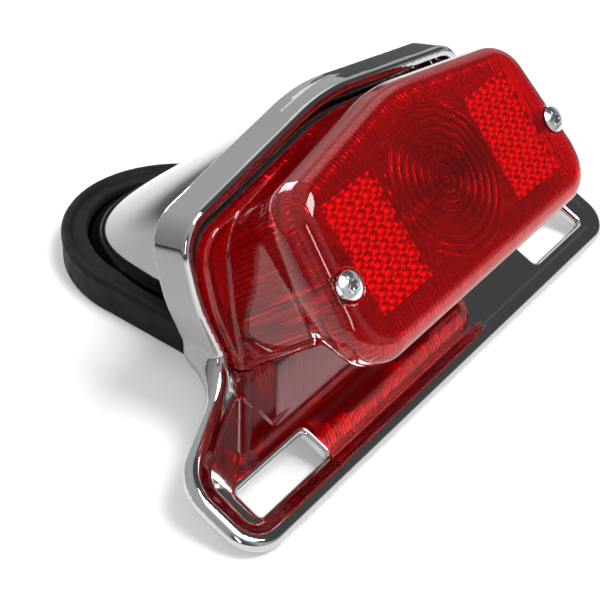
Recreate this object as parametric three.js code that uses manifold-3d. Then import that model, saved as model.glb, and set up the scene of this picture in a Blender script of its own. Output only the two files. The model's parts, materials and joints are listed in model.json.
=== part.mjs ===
// Motorcycle tail light: a cast housing with a number-plate bracket, a red lens,
// and a bayonet bulb in its socket.
// Millimetres. +Z is up, +Y points forward along the fender and the lens faces -Y.
// The origin is on the flat underside of the fender gasket, on the centre line.
import * as THREE from 'three';
import { mergeVertices } from 'three/addons/utils/BufferGeometryUtils.js';
import Module from 'manifold-3d';

const wasm = await Module();
wasm.setup();

// ---------------------------------------------------------------- driving dimensions

const RUNNING_GAP = 0.3;
const OVERCUT = 1;

// Depths in the lamp frame that start before the housing and end behind it.
const LAMP_SPAN = { front: 30, back: 80 };
const NACELLE_SPAN = { front: 30, back: 140 };

const degrees = THREE.MathUtils.degToRad;

// Three working planes. The lamp plane is the front face of the lens, and its y runs into the lamp.
// The seat plane is the front edge of the pan's rim. The bracket plane is the front of the plate bracket.
const LAMP_TILT = degrees(40);
const LAMP_CENTRE = new THREE.Vector3(0, -84.5, 55.5);
const SEAT_LEAN = degrees(11.6);
const SEAT_FOLD = new THREE.Vector3(0, -55.24, 19.59);
const BRACKET_SLOPE = degrees(25.7);
const BRACKET_ORIGIN = new THREE.Vector3(0, -82.5, 6.4);

// Housing: pan, nacelle and bracket in one casting.
const PAN_DEPTH = 11;
const PAN_FLOOR = 7.5;
const PAN_WALL = 3;
const BRACKET_THICK = 3.9;
const SLOT_INNER = 50;
const SLOT_OUTER = 76;
const SLOT_HEIGHT = 8.3;
const NACELLE_RADIUS = 29;
const NACELLE_WALL = 2.5;
const NACELLE_AXIS = 10;
const NACELLE_REAR = -41.8;
const FOOT_LEVEL = 4.3;
const FENDER_BOLTS = [[0, 14], [21, -28], [-21, -28]];
const FENDER_TAP_RADIUS = 2.5;
const FENDER_TAP_DEPTH = 12;
const BOSS_RADIUS = 5;
const BOSS_TOP = 20;
const PLATE_BOSS_RADIUS = 4;
const LENS_BOSS_END = 14;
const LENS_TAP_END = 56;
const SOCKET_HOLE_MARGIN = 3;
const SLOT_CORNER = 1.2;
const CAVITY_BOTTOM = -8;
const NACELLE_SIDES = 44;
const SOCKET_HOLE_END = 16;

// Fender gasket.
const GASKET_WEB = 4;
const GASKET_HEIGHT = 10;
const GASKET_STEP_HEIGHT = 8;
const GASKET_RIDGE = 3;
const GASKET_STEP = 4.2;
const GASKET_NOSE = 42;
const GASKET_REAR = -47.5;
const GASKET_SHOULDER = 3;
const GASKET_NOSE_HALF = 34.5;
const GASKET_REAR_HALF = 37.5;
const GASKET_CORNER = 10;
const WIRE_HOLE = { y: -17, radius: 8 };
const FENDER_BOLT_HOLE = 3.3;

// Lens and the pieces on it.
const LENS_WALL = 2.5;
const FACE_BLOCK = 14;
const FACE_ROUNDING = 4;
const FACE_HOLLOW_ROUNDING = 2;
const BODY_START = 8;
const FLANGE_FRONT = -1.5;
const FLANGE_BACK = 2.5;
const LENS_CLEARANCE = 0.5;
const SCREW_X = 46;
const SCREW_RADIUS = 2;
const SCREW_HEAD = 3.5;
const SCREW_HEAD_HALF = 1.2;
const SCREW_LENGTH = 54;
const SCREW_CROSS = { half: 1.9, halfWidth: 0.45, depth: 1.1 };
const COUNTERBORE_DEPTH = 1.5;
const COLUMN_RADIUS = 3.6;
const WINDOW = { half: 36, front: 17, back: 38, low: -10.3, high: -8.3 };
const REFLEX = { inner: 20.2, outer: 40, low: -11, high: 18, front: 2.8, back: 4.8, corner: 2 };

// Lamp base plate and what is riveted or screwed to it.
const SEAL_MARGIN = 1;
const LENS_GASKET = { front: 2.8, back: 4.8, bottom: 4.5, width: 4 };
const BASE_PLATE = { front: 5.1, back: 6.1, bottom: 6 };
const LENS_SCREW_PASS = 2.8;
const PLATE_SCREW = { x: 30, z: 12, radius: 1.5, head: 3, front: 3.2, neck: 4.8, end: 10.5 };
const DRIVER_SLOT = { half: 0.4, depth: 0.8 };
const RIVET_X = 14;
const RIVET = { shank: 1, hole: 1.3, head: 1.9, tail: 1.7, front: 2.6, seat: 3.5, clinch: 6.4, back: 7.1 };

// Bulb and socket, all round the bulb's own axis, which is square to the seat plane.
// Depths are from that plane.
const BULB_Z = 24.5;
const BULB_TIP = -28.5;
const GLASS_RADIUS = 12.5;
const GLASS_WALL = 0.8;
const NECK_RADIUS = 6.8;
const NECK_START = 13.5;
const NECK_END = 4.7;
const CAP_RADIUS = 7.5;
const CAP_FRONT = 5;
const CAP_BACK = 20;
const CAP_CHAMFER = 1.2;
const BAYONET_PINS = [{ side: 1, y: 12 }, { side: -1, y: 14.5 }];
const PIN_RADIUS = 0.9;
const PIN_REACH = 8.9;
const PIN_LENGTH = 3;
const SOCKET_BORE = 7.8;
const SOCKET_RADIUS = 8.8;
const SOCKET_FRONT = 3.8;
const SOCKET_BACK = 30;
const SOCKET_LIP = 29;
const SOCKET_CABLE_HOLE = 5;
const SOCKET_FLANGE = { half: 18, halfHeight: 10, corner: 4, thick: 1 };
const WINDOW_INNER = 6;
const WINDOW_OUTER = 12;
const BULB_PUSH = 2.5;
const BULB_TWIST = 20;
const TWIST_START = -2;
const TWIST_CUTS = 5;
const CONTACT_X = 3.2;
const CONTACT_HOLE = 1.35;
const CONTACT_HEAD = 21.6;
const CONTACT_HEAD_RADIUS = 1.9;
const CONTACT_DISC_RADIUS = 7.3;
const CONTACT_DISC_FRONT = 22.8;
const CONTACT_DISC_BACK = 24.1;
const CONTACT_TAIL = 25.4;
const SPRING = { radius: 6.4, wire: 0.35, turns: 3, front: 24.8, back: 28.3 };
const FILAMENT_FOOT = -8.6;
const FILAMENT_WIRE = 0.3;
const FILAMENT_SPLAY = 0.6;

// Leads inside the nacelle.
const LEAD_RADIUS = 1;
const LEAD_STRAIGHT = 3;
const BULLET_RADIUS = 2.1;
const BULLET_LENGTH = 11;
const BULLET_Y = -8;
const BULLET_LEVEL = 8.6;
const BULLET_SPACING = 8;
const EARTH_START = -6.4;

// ---------------------------------------------------------------- frames

function frameOf(rotationX, origin) {
  return new THREE.Matrix4().makeRotationX(rotationX).setPosition(origin);
}

const lampFrame = frameOf(-LAMP_TILT, LAMP_CENTRE);
const seatFrame = frameOf(-SEAT_LEAN, SEAT_FOLD);
const bracketFrame = frameOf(BRACKET_SLOPE, BRACKET_ORIGIN);
const seatInLamp = lampFrame.clone().invert().multiply(seatFrame);
const bracketInLamp = lampFrame.clone().invert().multiply(bracketFrame);
const lampInSeat = seatInLamp.clone().invert();

// ---------------------------------------------------------------- solids

function solid(geometry, matrix = new THREE.Matrix4()) {
  const open = geometry.index ? geometry.toNonIndexed() : geometry;
  const bare = new THREE.BufferGeometry();
  bare.setAttribute('position', open.getAttribute('position').clone());
  bare.applyMatrix4(matrix);
  const merged = mergeVertices(bare, 1e-4);
  const vertProperties = merged.attributes.position.array;
  const triVerts = new Uint32Array(merged.index.array);
  return new wasm.Manifold(new wasm.Mesh({ numProp: 3, vertProperties, triVerts }));
}

function geometryOf(made) {
  const { vertProperties, triVerts } = made.getMesh();
  const geometry = new THREE.BufferGeometry();
  geometry.setAttribute('position', new THREE.BufferAttribute(vertProperties, 3));
  geometry.setIndex(new THREE.BufferAttribute(triVerts, 1));
  geometry.computeVertexNormals();
  return geometry;
}

function joined(solids) {
  return solids.reduce((all, next) => all.add(next));
}

// ---------------------------------------------------------------- outlines

// A closed outline is a list of corners [x, y, radius], anticlockwise.
function mirrored(rightHalf) {
  const leftHalf = rightHalf.filter(([x]) => x > 0).map(([x, y, radius]) => [-x, y, radius]);
  return [...rightHalf, ...leftHalf.reverse()];
}

function inset(corners, distance) {
  const edges = corners.map(([x, y], i) => {
    const [nextX, nextY] = corners[(i + 1) % corners.length];
    const along = new THREE.Vector2(nextX - x, nextY - y).normalize();
    return { along, start: new THREE.Vector2(x - along.y * distance, y + along.x * distance) };
  });
  return corners.map(([, , radius], i) => {
    const before = edges.at(i - 1);
    const after = edges[i];
    const across = before.along.cross(after.along);
    const reach = after.start.clone().sub(before.start).cross(after.along) / across;
    const point = before.start.clone().addScaledVector(before.along, reach);
    return [point.x, point.y, Math.max(radius - distance, 0.5)];
  });
}

// Moves the bottom edge of a mirrored outline to another level, along the lines of its two sides.
function withBottom(corners, level) {
  const [[x, y, radius], [sideX, sideY]] = corners;
  const moved = x + ((sideX - x) * (level - y)) / (sideY - y);
  return [[moved, level, radius], ...corners.slice(1, -1), [-moved, level, radius]];
}

function cornerArc([x, y, radius], before, after) {
  const corner = new THREE.Vector2(x, y);
  const toBefore = new THREE.Vector2(before[0] - x, before[1] - y).normalize();
  const toAfter = new THREE.Vector2(after[0] - x, after[1] - y).normalize();
  const half = Math.acos(THREE.MathUtils.clamp(toBefore.dot(toAfter), -1, 1)) / 2;
  const middle = toBefore.clone().add(toAfter).normalize();
  const centre = corner.clone().addScaledVector(middle, radius / Math.sin(half));
  const start = corner.clone().addScaledVector(toBefore, radius / Math.tan(half)).sub(centre);
  const turn = -Math.sign(toBefore.cross(toAfter)) * (Math.PI - 2 * half);
  const steps = Math.max(2, Math.ceil(Math.abs(turn) / degrees(20)));
  return Array.from({ length: steps + 1 }, (_, i) =>
    start.clone().rotateAround(new THREE.Vector2(), (turn * i) / steps).add(centre));
}

function shapeOf(corners) {
  return new THREE.Shape(corners.flatMap((corner, i) =>
    cornerArc(corner, corners.at(i - 1), corners[(i + 1) % corners.length])));
}

function rectangle(left, bottom, right, top, radius) {
  return [[right, bottom, radius], [right, top, radius], [left, top, radius], [left, bottom, radius]];
}

// A rectangle on the right or on the left, between two distances from the centre line.
function sideRectangle(side, inner, bottom, outer, top, radius) {
  return side > 0
    ? rectangle(inner, bottom, outer, top, radius)
    : rectangle(-outer, bottom, -inner, top, radius);
}

// A plate from an outline in x and y, between two heights.
function plate(shape, bottom, top) {
  return new THREE.ExtrudeGeometry(shape, { depth: top - bottom, bevelEnabled: false })
    .translate(0, 0, bottom);
}

// The same solid on the right and on the left.
const SIDES = [1, -1];

function onBothSides(makeSolid) {
  return joined(SIDES.map(makeSolid));
}

// A prism from an outline in x and z, between two depths along y, with optional rounded ends.
function prism(shape, front, back, rounding = 0) {
  const options = rounding
    ? {
        depth: back - front - 2 * rounding,
        bevelThickness: rounding,
        bevelSize: rounding,
        bevelOffset: -rounding,
        bevelSegments: 2,
      }
    : { depth: back - front, bevelEnabled: false };
  return new THREE.ExtrudeGeometry(shape, options)
    .translate(0, 0, rounding)
    .rotateX(Math.PI / 2)
    .translate(0, back, 0);
}

function block(low, high) {
  const size = high.map((value, i) => value - low[i]);
  const centre = high.map((value, i) => (value + low[i]) / 2);
  return new THREE.BoxGeometry(...size).translate(...centre);
}

function rod(radius, front, back, x = 0, z = 0, sides = 16) {
  return new THREE.CylinderGeometry(radius, radius, back - front, sides)
    .translate(x, (front + back) / 2, z);
}

function upright(radius, bottom, top, x = 0, y = 0, sides = 16) {
  return new THREE.CylinderGeometry(radius, radius, top - bottom, sides)
    .rotateX(Math.PI / 2)
    .translate(x, y, (bottom + top) / 2);
}

// A turned piece about the y axis from a closed profile of [radius, y].
function turned(profile, sides = 20) {
  return new THREE.LatheGeometry(profile.map(([radius, y]) => new THREE.Vector2(radius, y)), sides);
}

const FAR = 300;
const behindSeat = (depth) => block([-FAR, depth, -FAR], [FAR, FAR, FAR]);
const beforeSeat = (depth) => block([-FAR, -FAR, -FAR], [FAR, depth, FAR]);
const aboveLevel = (level) => block([-FAR, -FAR, level], [FAR, FAR, FAR]);

// ---------------------------------------------------------------- outlines of the big pieces

const RIM = mirrored([[54.5, 0, 0.5], [59.6, 22, 45], [59.8, 42.4, 11], [0, 53.2, 60]]);
const FLANGE = mirrored([[50.5, -2, 3], [55.6, 20, 45], [55.1, 37.6, 9], [0, 46.4, 60]]);
const FACE = mirrored([[50.3, -21, 11], [51.6, -8, 14], [47.4, 24.4, 11], [0, 32.6, 45]]);
const BODY = mirrored([[49.8, -10.5, 3], [49.6, 4, 40], [46.6, 23.4, 10], [0, 31.6, 45]]);
const BRACKET = mirrored([[85.4, -6.5, 9], [85.4, 18, 13], [66, 27, 6], [54.5, 33, 6], [54.5, 41, 0.5]]);

// ---------------------------------------------------------------- housing

function nacelleCore(radius, seatDepth, rear, level) {
  return solid(rod(radius, NACELLE_SPAN.front, NACELLE_SPAN.back, 0, NACELLE_AXIS, NACELLE_SIDES), lampFrame)
    .intersect(solid(behindSeat(seatDepth), seatFrame))
    .intersect(solid(block([-FAR, rear, level], [FAR, FAR, FAR])));
}

function makeHousing() {
  const cavity = withBottom(inset(RIM, PAN_WALL), CAVITY_BOTTOM);
  const pan = solid(prism(shapeOf(RIM), 0, PAN_DEPTH), seatFrame)
    .subtract(solid(prism(shapeOf(cavity), -OVERCUT, PAN_FLOOR), seatFrame));
  const bracket = solid(plate(shapeOf(BRACKET), -BRACKET_THICK, 0), bracketFrame);

  const outer = nacelleCore(NACELLE_RADIUS, PAN_FLOOR + OVERCUT, NACELLE_REAR, FOOT_LEVEL);
  const hollow = nacelleCore(
    NACELLE_RADIUS - NACELLE_WALL, PAN_DEPTH, NACELLE_REAR + NACELLE_WALL, FOOT_LEVEL - OVERCUT);
  const bosses = FENDER_BOLTS.map(([x, y]) =>
    solid(upright(BOSS_RADIUS, FOOT_LEVEL, BOSS_TOP, x, y)).intersect(outer));
  const taps = FENDER_BOLTS.map(([x, y]) => solid(upright(
    FENDER_TAP_RADIUS, FOOT_LEVEL - OVERCUT, FOOT_LEVEL + FENDER_TAP_DEPTH, x, y, 12)));

  const { front: spanFront, back: spanBack } = LAMP_SPAN;
  const behindPlate = BASE_PLATE.back + RUNNING_GAP;
  const bossZone = solid(block([-FAR, behindPlate, -FAR], [FAR, LENS_BOSS_END, FAR]), seatFrame);
  const lensBosses = onBothSides((side) =>
    solid(rod(BOSS_RADIUS, spanFront, spanBack, side * SCREW_X), lampFrame).intersect(bossZone));
  const lensTaps = onBothSides((side) =>
    solid(rod(SCREW_RADIUS + RUNNING_GAP, spanFront, LENS_TAP_END, side * SCREW_X, 0, 12), lampFrame));

  const { x: screwX, z: screwZ, radius: screwRadius } = PLATE_SCREW;
  const plateBosses = onBothSides((side) => solid(
    rod(PLATE_BOSS_RADIUS, behindPlate, PAN_FLOOR + OVERCUT, side * screwX, screwZ), seatFrame));
  const plateTaps = onBothSides((side) => solid(
    rod(screwRadius + RUNNING_GAP, BASE_PLATE.front, PAN_DEPTH + OVERCUT, side * screwX, screwZ, 12),
    seatFrame));
  const socketHole = solid(
    rod(SOCKET_RADIUS + SOCKET_HOLE_MARGIN, BASE_PLATE.front, SOCKET_HOLE_END, 0, BULB_Z, 24),
    seatFrame);
  const slots = onBothSides((side) => {
    const outline = sideRectangle(side, SLOT_INNER, 0, SLOT_OUTER, SLOT_HEIGHT, SLOT_CORNER);
    return solid(plate(shapeOf(outline), -BRACKET_THICK - OVERCUT, OVERCUT), bracketFrame);
  });

  return joined([pan, bracket, outer])
    .subtract(hollow)
    .add(joined([...bosses, lensBosses, plateBosses]))
    .subtract(joined([...taps, lensTaps, plateTaps, slots]))
    .subtract(socketHole);
}

// ---------------------------------------------------------------- gaskets

// A parallel-sided outline with a half-elliptical nose, set in by a distance all round.
function gasketShape(distance) {
  const halfNose = GASKET_NOSE_HALF - distance;
  const halfRear = GASKET_REAR_HALF - distance;
  const rear = GASKET_REAR + distance;
  const corner = Math.max(GASKET_CORNER - distance, 2);
  const shape = new THREE.Shape();
  shape.moveTo(-halfRear + corner, rear);
  shape.lineTo(halfRear - corner, rear);
  shape.absarc(halfRear - corner, rear + corner, corner, -Math.PI / 2, 0, false);
  shape.absellipse(
    0, GASKET_SHOULDER, halfNose, GASKET_NOSE - GASKET_SHOULDER - distance, 0, Math.PI, false);
  shape.absarc(-halfRear + corner, rear + corner, corner, Math.PI, 1.5 * Math.PI, false);
  return new THREE.Shape(shape.getPoints(7).slice(0, -1));
}

function makeFenderGasket() {
  const holes = [
    upright(WIRE_HOLE.radius, -OVERCUT, GASKET_WEB + OVERCUT, 0, WIRE_HOLE.y),
    ...FENDER_BOLTS.map(([x, y]) =>
      upright(FENDER_BOLT_HOLE, -OVERCUT, GASKET_WEB + OVERCUT, x, y, 12)),
  ];
  return solid(plate(gasketShape(0), 0, GASKET_HEIGHT))
    .subtract(solid(plate(gasketShape(GASKET_RIDGE), GASKET_STEP_HEIGHT, GASKET_HEIGHT + OVERCUT)))
    .subtract(solid(plate(gasketShape(GASKET_STEP), GASKET_WEB, GASKET_HEIGHT)))
    .subtract(joined(holes.map((hole) => solid(hole))));
}

function makeLensGasket() {
  const { front, back, bottom, width } = LENS_GASKET;
  const outline = withBottom(inset(FLANGE, SEAL_MARGIN), bottom);
  const opening = withBottom(inset(FLANGE, SEAL_MARGIN + width), bottom + width);
  const outer = solid(prism(shapeOf(outline), front, back));
  const inner = solid(prism(shapeOf(opening), front - OVERCUT, back + OVERCUT));
  const onScrews = (radius) => onBothSides((side) =>
    solid(rod(radius, LAMP_SPAN.front, LAMP_SPAN.back, side * SCREW_X, 0, 12), lampInSeat));
  return outer
    .subtract(inner)
    .add(onScrews(COLUMN_RADIUS + 1).intersect(outer))
    .subtract(onScrews(SCREW_RADIUS + RUNNING_GAP));
}

// ---------------------------------------------------------------- lamp base plate and socket

function makeBasePlate() {
  const { front, back, bottom } = BASE_PLATE;
  const outline = withBottom(inset(FLANGE, SEAL_MARGIN), bottom);
  const lensHoles = onBothSides((side) =>
    solid(rod(LENS_SCREW_PASS, LAMP_SPAN.front, LAMP_SPAN.back, side * SCREW_X, 0, 12), lampInSeat));
  const screwHoles = onBothSides((side) => solid(
    rod(PLATE_SCREW.radius + RUNNING_GAP, 4, 8, side * PLATE_SCREW.x, PLATE_SCREW.z, 12)));
  const rivetHoles = onBothSides((side) =>
    solid(rod(RIVET.hole, 4, 8, side * RIVET_X, BULB_Z, 12)));
  return solid(prism(shapeOf(outline), front, back))
    .subtract(solid(rod(SOCKET_RADIUS + LENS_CLEARANCE, 4, 8, 0, BULB_Z, 24)))
    .subtract(joined([lensHoles, screwHoles, rivetHoles]));
}

function makePlateScrew() {
  const { radius, head, front, neck, end } = PLATE_SCREW;
  const { half, depth } = DRIVER_SLOT;
  const profile = [
    [0, front], [head - depth, front], [head, front + depth], [head, neck],
    [radius, neck], [radius, end], [0, end],
  ];
  const slot = block([-half, front - OVERCUT, -FAR], [half, front + depth, FAR]);
  return solid(turned(profile, 14)).subtract(solid(slot));
}

function makeRivet() {
  const { shank, head, tail, front, seat, clinch, back } = RIVET;
  return solid(turned([
    [0, front], [shank, front], [head, seat], [shank, seat],
    [shank, clinch], [tail, clinch], [tail, back], [0, back],
  ], 12));
}

// One bayonet window: the pin's turn in steps, with a straight way out to the mouth at its end.
function bayonetWindow({ side, y }) {
  const half = PIN_RADIUS + RUNNING_GAP;
  const [near, far] = side > 0 ? [WINDOW_INNER, WINDOW_OUTER] : [-WINDOW_OUTER, -WINDOW_INNER];
  const cut = (angle, front) => solid(
    block([near, front, -half], [far, y + half + BULB_PUSH, half]).rotateY(degrees(angle)));
  const turn = Array.from({ length: TWIST_CUTS + 1 }, (_, i) =>
    cut(THREE.MathUtils.lerp(TWIST_START, BULB_TWIST, i / TWIST_CUTS), y - half));
  return joined([...turn, cut(BULB_TWIST, 0)]);
}

// The socket is a drawn tube with a flange, two bayonet windows and a lip that holds the spring.
function makeSocket() {
  const { half, halfHeight, corner, thick } = SOCKET_FLANGE;
  const tube = solid(rod(SOCKET_RADIUS, SOCKET_FRONT, SOCKET_BACK, 0, 0, 24));
  const outline = rectangle(-half, -halfHeight, half, halfHeight, corner);
  const flange = solid(prism(shapeOf(outline), SOCKET_FRONT, SOCKET_FRONT + thick));
  const boreEnd = SOCKET_BACK + OVERCUT;
  const bore = solid(turned([
    [0, 0], [SOCKET_BORE, 0], [SOCKET_BORE, SOCKET_LIP],
    [SOCKET_CABLE_HOLE, SOCKET_LIP], [SOCKET_CABLE_HOLE, boreEnd], [0, boreEnd],
  ], 24));
  const rivetHoles = onBothSides((side) => solid(rod(RIVET.hole, 3, 6, side * RIVET_X, 0, 12)));
  return joined([tube, flange])
    .subtract(bore)
    .subtract(joined([...BAYONET_PINS.map(bayonetWindow), rivetHoles]));
}

// ---------------------------------------------------------------- bulb, turned about its own axis

function makeGlass() {
  const centre = BULB_TIP + GLASS_RADIUS;
  const arcSteps = 8;
  const arcTurn = Math.PI * 0.78;
  const profile = (radius, neck) => {
    const arc = Array.from({ length: arcSteps + 1 }, (_, i) => {
      const angle = (arcTurn * i) / arcSteps;
      return [radius * Math.sin(angle), centre - radius * Math.cos(angle)];
    });
    return [...arc, [neck, centre + NECK_START], [neck, NECK_END]];
  };
  const outside = profile(GLASS_RADIUS, NECK_RADIUS);
  const inside = profile(GLASS_RADIUS - GLASS_WALL, NECK_RADIUS - GLASS_WALL);
  return turned([...outside, ...inside.reverse()]);
}

function makeCap() {
  const body = solid(turned([
    [0, CAP_FRONT], [CAP_RADIUS, CAP_FRONT], [CAP_RADIUS, CAP_BACK - CAP_CHAMFER],
    [CAP_RADIUS - CAP_CHAMFER, CAP_BACK], [0, CAP_BACK],
  ]));
  const pins = BAYONET_PINS.map(({ side, y }) => solid(
    new THREE.CylinderGeometry(PIN_RADIUS, PIN_RADIUS, PIN_LENGTH, 12)
      .rotateZ(Math.PI / 2)
      .translate(side * (PIN_REACH - PIN_LENGTH / 2), y, 0)));
  return body.add(joined(pins));
}

function makeStem() {
  return turned([[0, -8], [1.2, -8], [2.4, -5], [2.4, 2], [5.4, 3.2], [5.4, 4.4], [0, 4.4]], 16);
}

// A filament: two support wires splayed out from the stem, with the coil across their tips.
function makeFilament(front, half) {
  const foot = half * FILAMENT_SPLAY;
  const shoulder = front + 1;
  const points = [
    [-foot, FILAMENT_FOOT], [-half, shoulder], [-half, front],
    [half, front], [half, shoulder], [foot, FILAMENT_FOOT],
  ].map(([x, y]) => new THREE.Vector3(x, y, 0));
  const curve = new THREE.CatmullRomCurve3(points, false, 'catmullrom', 0.1);
  return tube(curve, FILAMENT_WIRE, 15, 5);
}

function tube(curve, radius, steps, sides) {
  const section = new THREE.Shape(Array.from({ length: sides }, (_, i) => {
    const angle = (2 * Math.PI * i) / sides;
    return new THREE.Vector2(radius * Math.cos(angle), radius * Math.sin(angle));
  }));
  return new THREE.ExtrudeGeometry(section, { steps, extrudePath: curve, bevelEnabled: false });
}

// ---------------------------------------------------------------- spring contacts

function makeContactDisc() {
  const holes = onBothSides((side) => solid(
    rod(CONTACT_HOLE, CONTACT_HEAD, SOCKET_BACK, side * CONTACT_X, 0, 12)));
  return solid(rod(CONTACT_DISC_RADIUS, CONTACT_DISC_FRONT, CONTACT_DISC_BACK, 0, 0, 20))
    .subtract(holes);
}

function makeContactPin() {
  const shoulder = CONTACT_DISC_FRONT - RUNNING_GAP;
  return turned([
    [0, CONTACT_HEAD], [CONTACT_HEAD_RADIUS, CONTACT_HEAD + 0.3], [CONTACT_HEAD_RADIUS, shoulder],
    [1, shoulder], [1, CONTACT_TAIL], [0, CONTACT_TAIL],
  ], 12);
}

function makeBulbContact() {
  const seat = CAP_BACK + RUNNING_GAP;
  return turned([[0, seat], [1.8, seat], [1.5, CAP_BACK + 1], [0, CAP_BACK + 1.3]], 12);
}

class Helix extends THREE.Curve {
  getPoint(t, target = new THREE.Vector3()) {
    const angle = 2 * Math.PI * SPRING.turns * t;
    const along = THREE.MathUtils.lerp(SPRING.front, SPRING.back, t);
    return target.set(SPRING.radius * Math.cos(angle), along, SPRING.radius * Math.sin(angle));
  }
}

// ---------------------------------------------------------------- lens

function makeLens() {
  const { back: behind } = LAMP_SPAN;
  const columns = onBothSides((side) => solid(rod(COLUMN_RADIUS, OVERCUT, behind, side * SCREW_X)));
  const shell = joined([
    solid(prism(shapeOf(FACE), 0, FACE_BLOCK, FACE_ROUNDING)),
    solid(prism(shapeOf(BODY), BODY_START, behind)),
  ]);
  const faceHollow = prism(
    shapeOf(inset(FACE, LENS_WALL)), LENS_WALL, FACE_BLOCK - LENS_WALL, FACE_HOLLOW_ROUNDING);
  const bodyHollow = prism(shapeOf(inset(BODY, LENS_WALL)), BODY_START, behind + OVERCUT);
  const hollow = solid(faceHollow).add(solid(bodyHollow)).subtract(columns);
  const flange = solid(prism(shapeOf(FLANGE), FLANGE_FRONT, FLANGE_BACK), seatInLamp);

  const counterbore = SCREW_HEAD + LENS_CLEARANCE;
  const heads = onBothSides((side) => solid(rod(counterbore, -5, COUNTERBORE_DEPTH, side * SCREW_X)));
  const holes = onBothSides((side) =>
    solid(rod(SCREW_RADIUS + RUNNING_GAP, 0, behind + OVERCUT, side * SCREW_X, 0, 12)));
  const { half, front, back, low, high } = WINDOW;
  const opening = solid(block(
    [-half - RUNNING_GAP, front - RUNNING_GAP, low - LENS_WALL],
    [half + RUNNING_GAP, back + RUNNING_GAP, high + LENS_WALL]));
  return shell
    .intersect(solid(beforeSeat(FLANGE_BACK), seatInLamp))
    .add(flange)
    .subtract(hollow)
    .subtract(joined([heads, holes]))
    .subtract(opening)
    .intersect(solid(aboveLevel(LENS_CLEARANCE), bracketInLamp));
}

function makeReflex(side) {
  const { inner, outer, low, high, front, back, corner } = REFLEX;
  return prism(shapeOf(sideRectangle(side, inner, low, outer, high, corner)), front, back);
}

function makeWindow() {
  const { half, front, back, low, high } = WINDOW;
  return block([-half, front, low], [half, back, high]);
}

function makeLensScrew() {
  const top = -SCREW_HEAD_HALF;
  const tip = SCREW_RADIUS - 1;
  const body = solid(turned([
    [0, top], [2, top], [3.1, top + 0.7], [SCREW_HEAD, top + 1.5], [SCREW_HEAD, SCREW_HEAD_HALF],
    [SCREW_RADIUS, SCREW_HEAD_HALF], [SCREW_RADIUS, SCREW_LENGTH - 1], [tip, SCREW_LENGTH],
    [0, SCREW_LENGTH],
  ], 16));
  const { half, halfWidth, depth } = SCREW_CROSS;
  const recess = [0, Math.PI / 2].map((angle) => solid(
    block([-half, top - OVERCUT, -halfWidth], [half, top + depth, halfWidth]).rotateY(angle)));
  return body.subtract(joined(recess));
}

// ---------------------------------------------------------------- leads

function onBulbAxis(x, y, z) {
  return new THREE.Vector3(x, y, BULB_Z + z).applyMatrix4(seatFrame);
}

const LEADS = {
  tail: { bullet: [-BULLET_SPACING, BULLET_Y, BULLET_LEVEL], from: [-CONTACT_X, 0] },
  stop: { bullet: [BULLET_SPACING, BULLET_Y, BULLET_LEVEL], from: [CONTACT_X, 0] },
  earth: { bullet: [0, BULLET_Y, BULLET_LEVEL], from: [0, EARTH_START] },
};

// A lead leaves the back of the socket, drops down the nacelle and turns forward into its bullet.
function makeLead({ bullet: [x, y, z], from: [startX, startZ] }) {
  const points = [
    onBulbAxis(startX, SOCKET_BACK + 2 * RUNNING_GAP, startZ),
    onBulbAxis(startX, SOCKET_BACK + LEAD_STRAIGHT, startZ),
    new THREE.Vector3((x + startX) / 2, y - 1, z + 18),
    new THREE.Vector3(x, y - 3.6, z + 8),
    new THREE.Vector3(x, y - 4.6, z + 3),
    new THREE.Vector3(x, y - 2.8, z + 0.2),
    new THREE.Vector3(x, y - 2 * RUNNING_GAP, z),
  ];
  return tube(new THREE.CatmullRomCurve3(points), LEAD_RADIUS, 20, 6);
}

function makeBullet([x, y, z]) {
  return turned([
    [0, 0], [1.4, 0], [BULLET_RADIUS, 1], [BULLET_RADIUS, 7], [1.6, 7.6],
    [BULLET_RADIUS, 8.4], [1.2, BULLET_LENGTH], [0, BULLET_LENGTH],
  ], 12).translate(x, y, z);
}

// ---------------------------------------------------------------- finishes

const finish = (color, roughness, metalness) => () =>
  new THREE.MeshStandardMaterial({ color, roughness, metalness });
const chrome = finish(0xd8dadb, 0.06, 1);
const zinc = finish(0xc4c8ca, 0.28, 1);
const steel = finish(0xa9adb0, 0.35, 1);
const brass = finish(0xc9a24c, 0.3, 1);
const solder = finish(0xb4b6b8, 0.45, 1);
const rubber = finish(0x141414, 0.6, 0);
const redPlastic = finish(0x9c0a14, 0.08, 0);
const clearPlastic = finish(0xe8d6d8, 0.08, 0);
const glass = finish(0xf2f4f4, 0.03, 0);
const tungsten = finish(0x6b6864, 0.5, 1);
const paperBoard = finish(0x5a3320, 0.7, 0);
const brownLead = finish(0x4a2a16, 0.5, 0);
const redLead = finish(0xa01818, 0.5, 0);
const blackLead = finish(0x1a1a1a, 0.5, 0);

function piece(name, shape, makeMaterial) {
  const geometry = shape.isBufferGeometry ? shape : geometryOf(shape);
  const mesh = new THREE.Mesh(geometry, makeMaterial());
  mesh.name = name;
  return mesh;
}

function at(mesh, x, y, z) {
  mesh.position.set(x, y, z);
  return mesh;
}

// ---------------------------------------------------------------- assembly

const tailLight = new THREE.Group();
const lampGroup = new THREE.Group();
const seatGroup = new THREE.Group();
const bulbGroup = new THREE.Group();
lampGroup.rotation.x = -LAMP_TILT;
lampGroup.position.copy(LAMP_CENTRE);
seatGroup.rotation.x = -SEAT_LEAN;
seatGroup.position.copy(SEAT_FOLD);
bulbGroup.position.z = BULB_Z;
seatGroup.add(bulbGroup);
tailLight.add(lampGroup, seatGroup);

tailLight.add(
  piece('housing', makeHousing(), chrome),
  piece('fender_gasket', makeFenderGasket(), rubber),
);

seatGroup.add(
  piece('lens_gasket', makeLensGasket(), rubber),
  piece('base_plate', makeBasePlate(), zinc),
);

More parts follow.
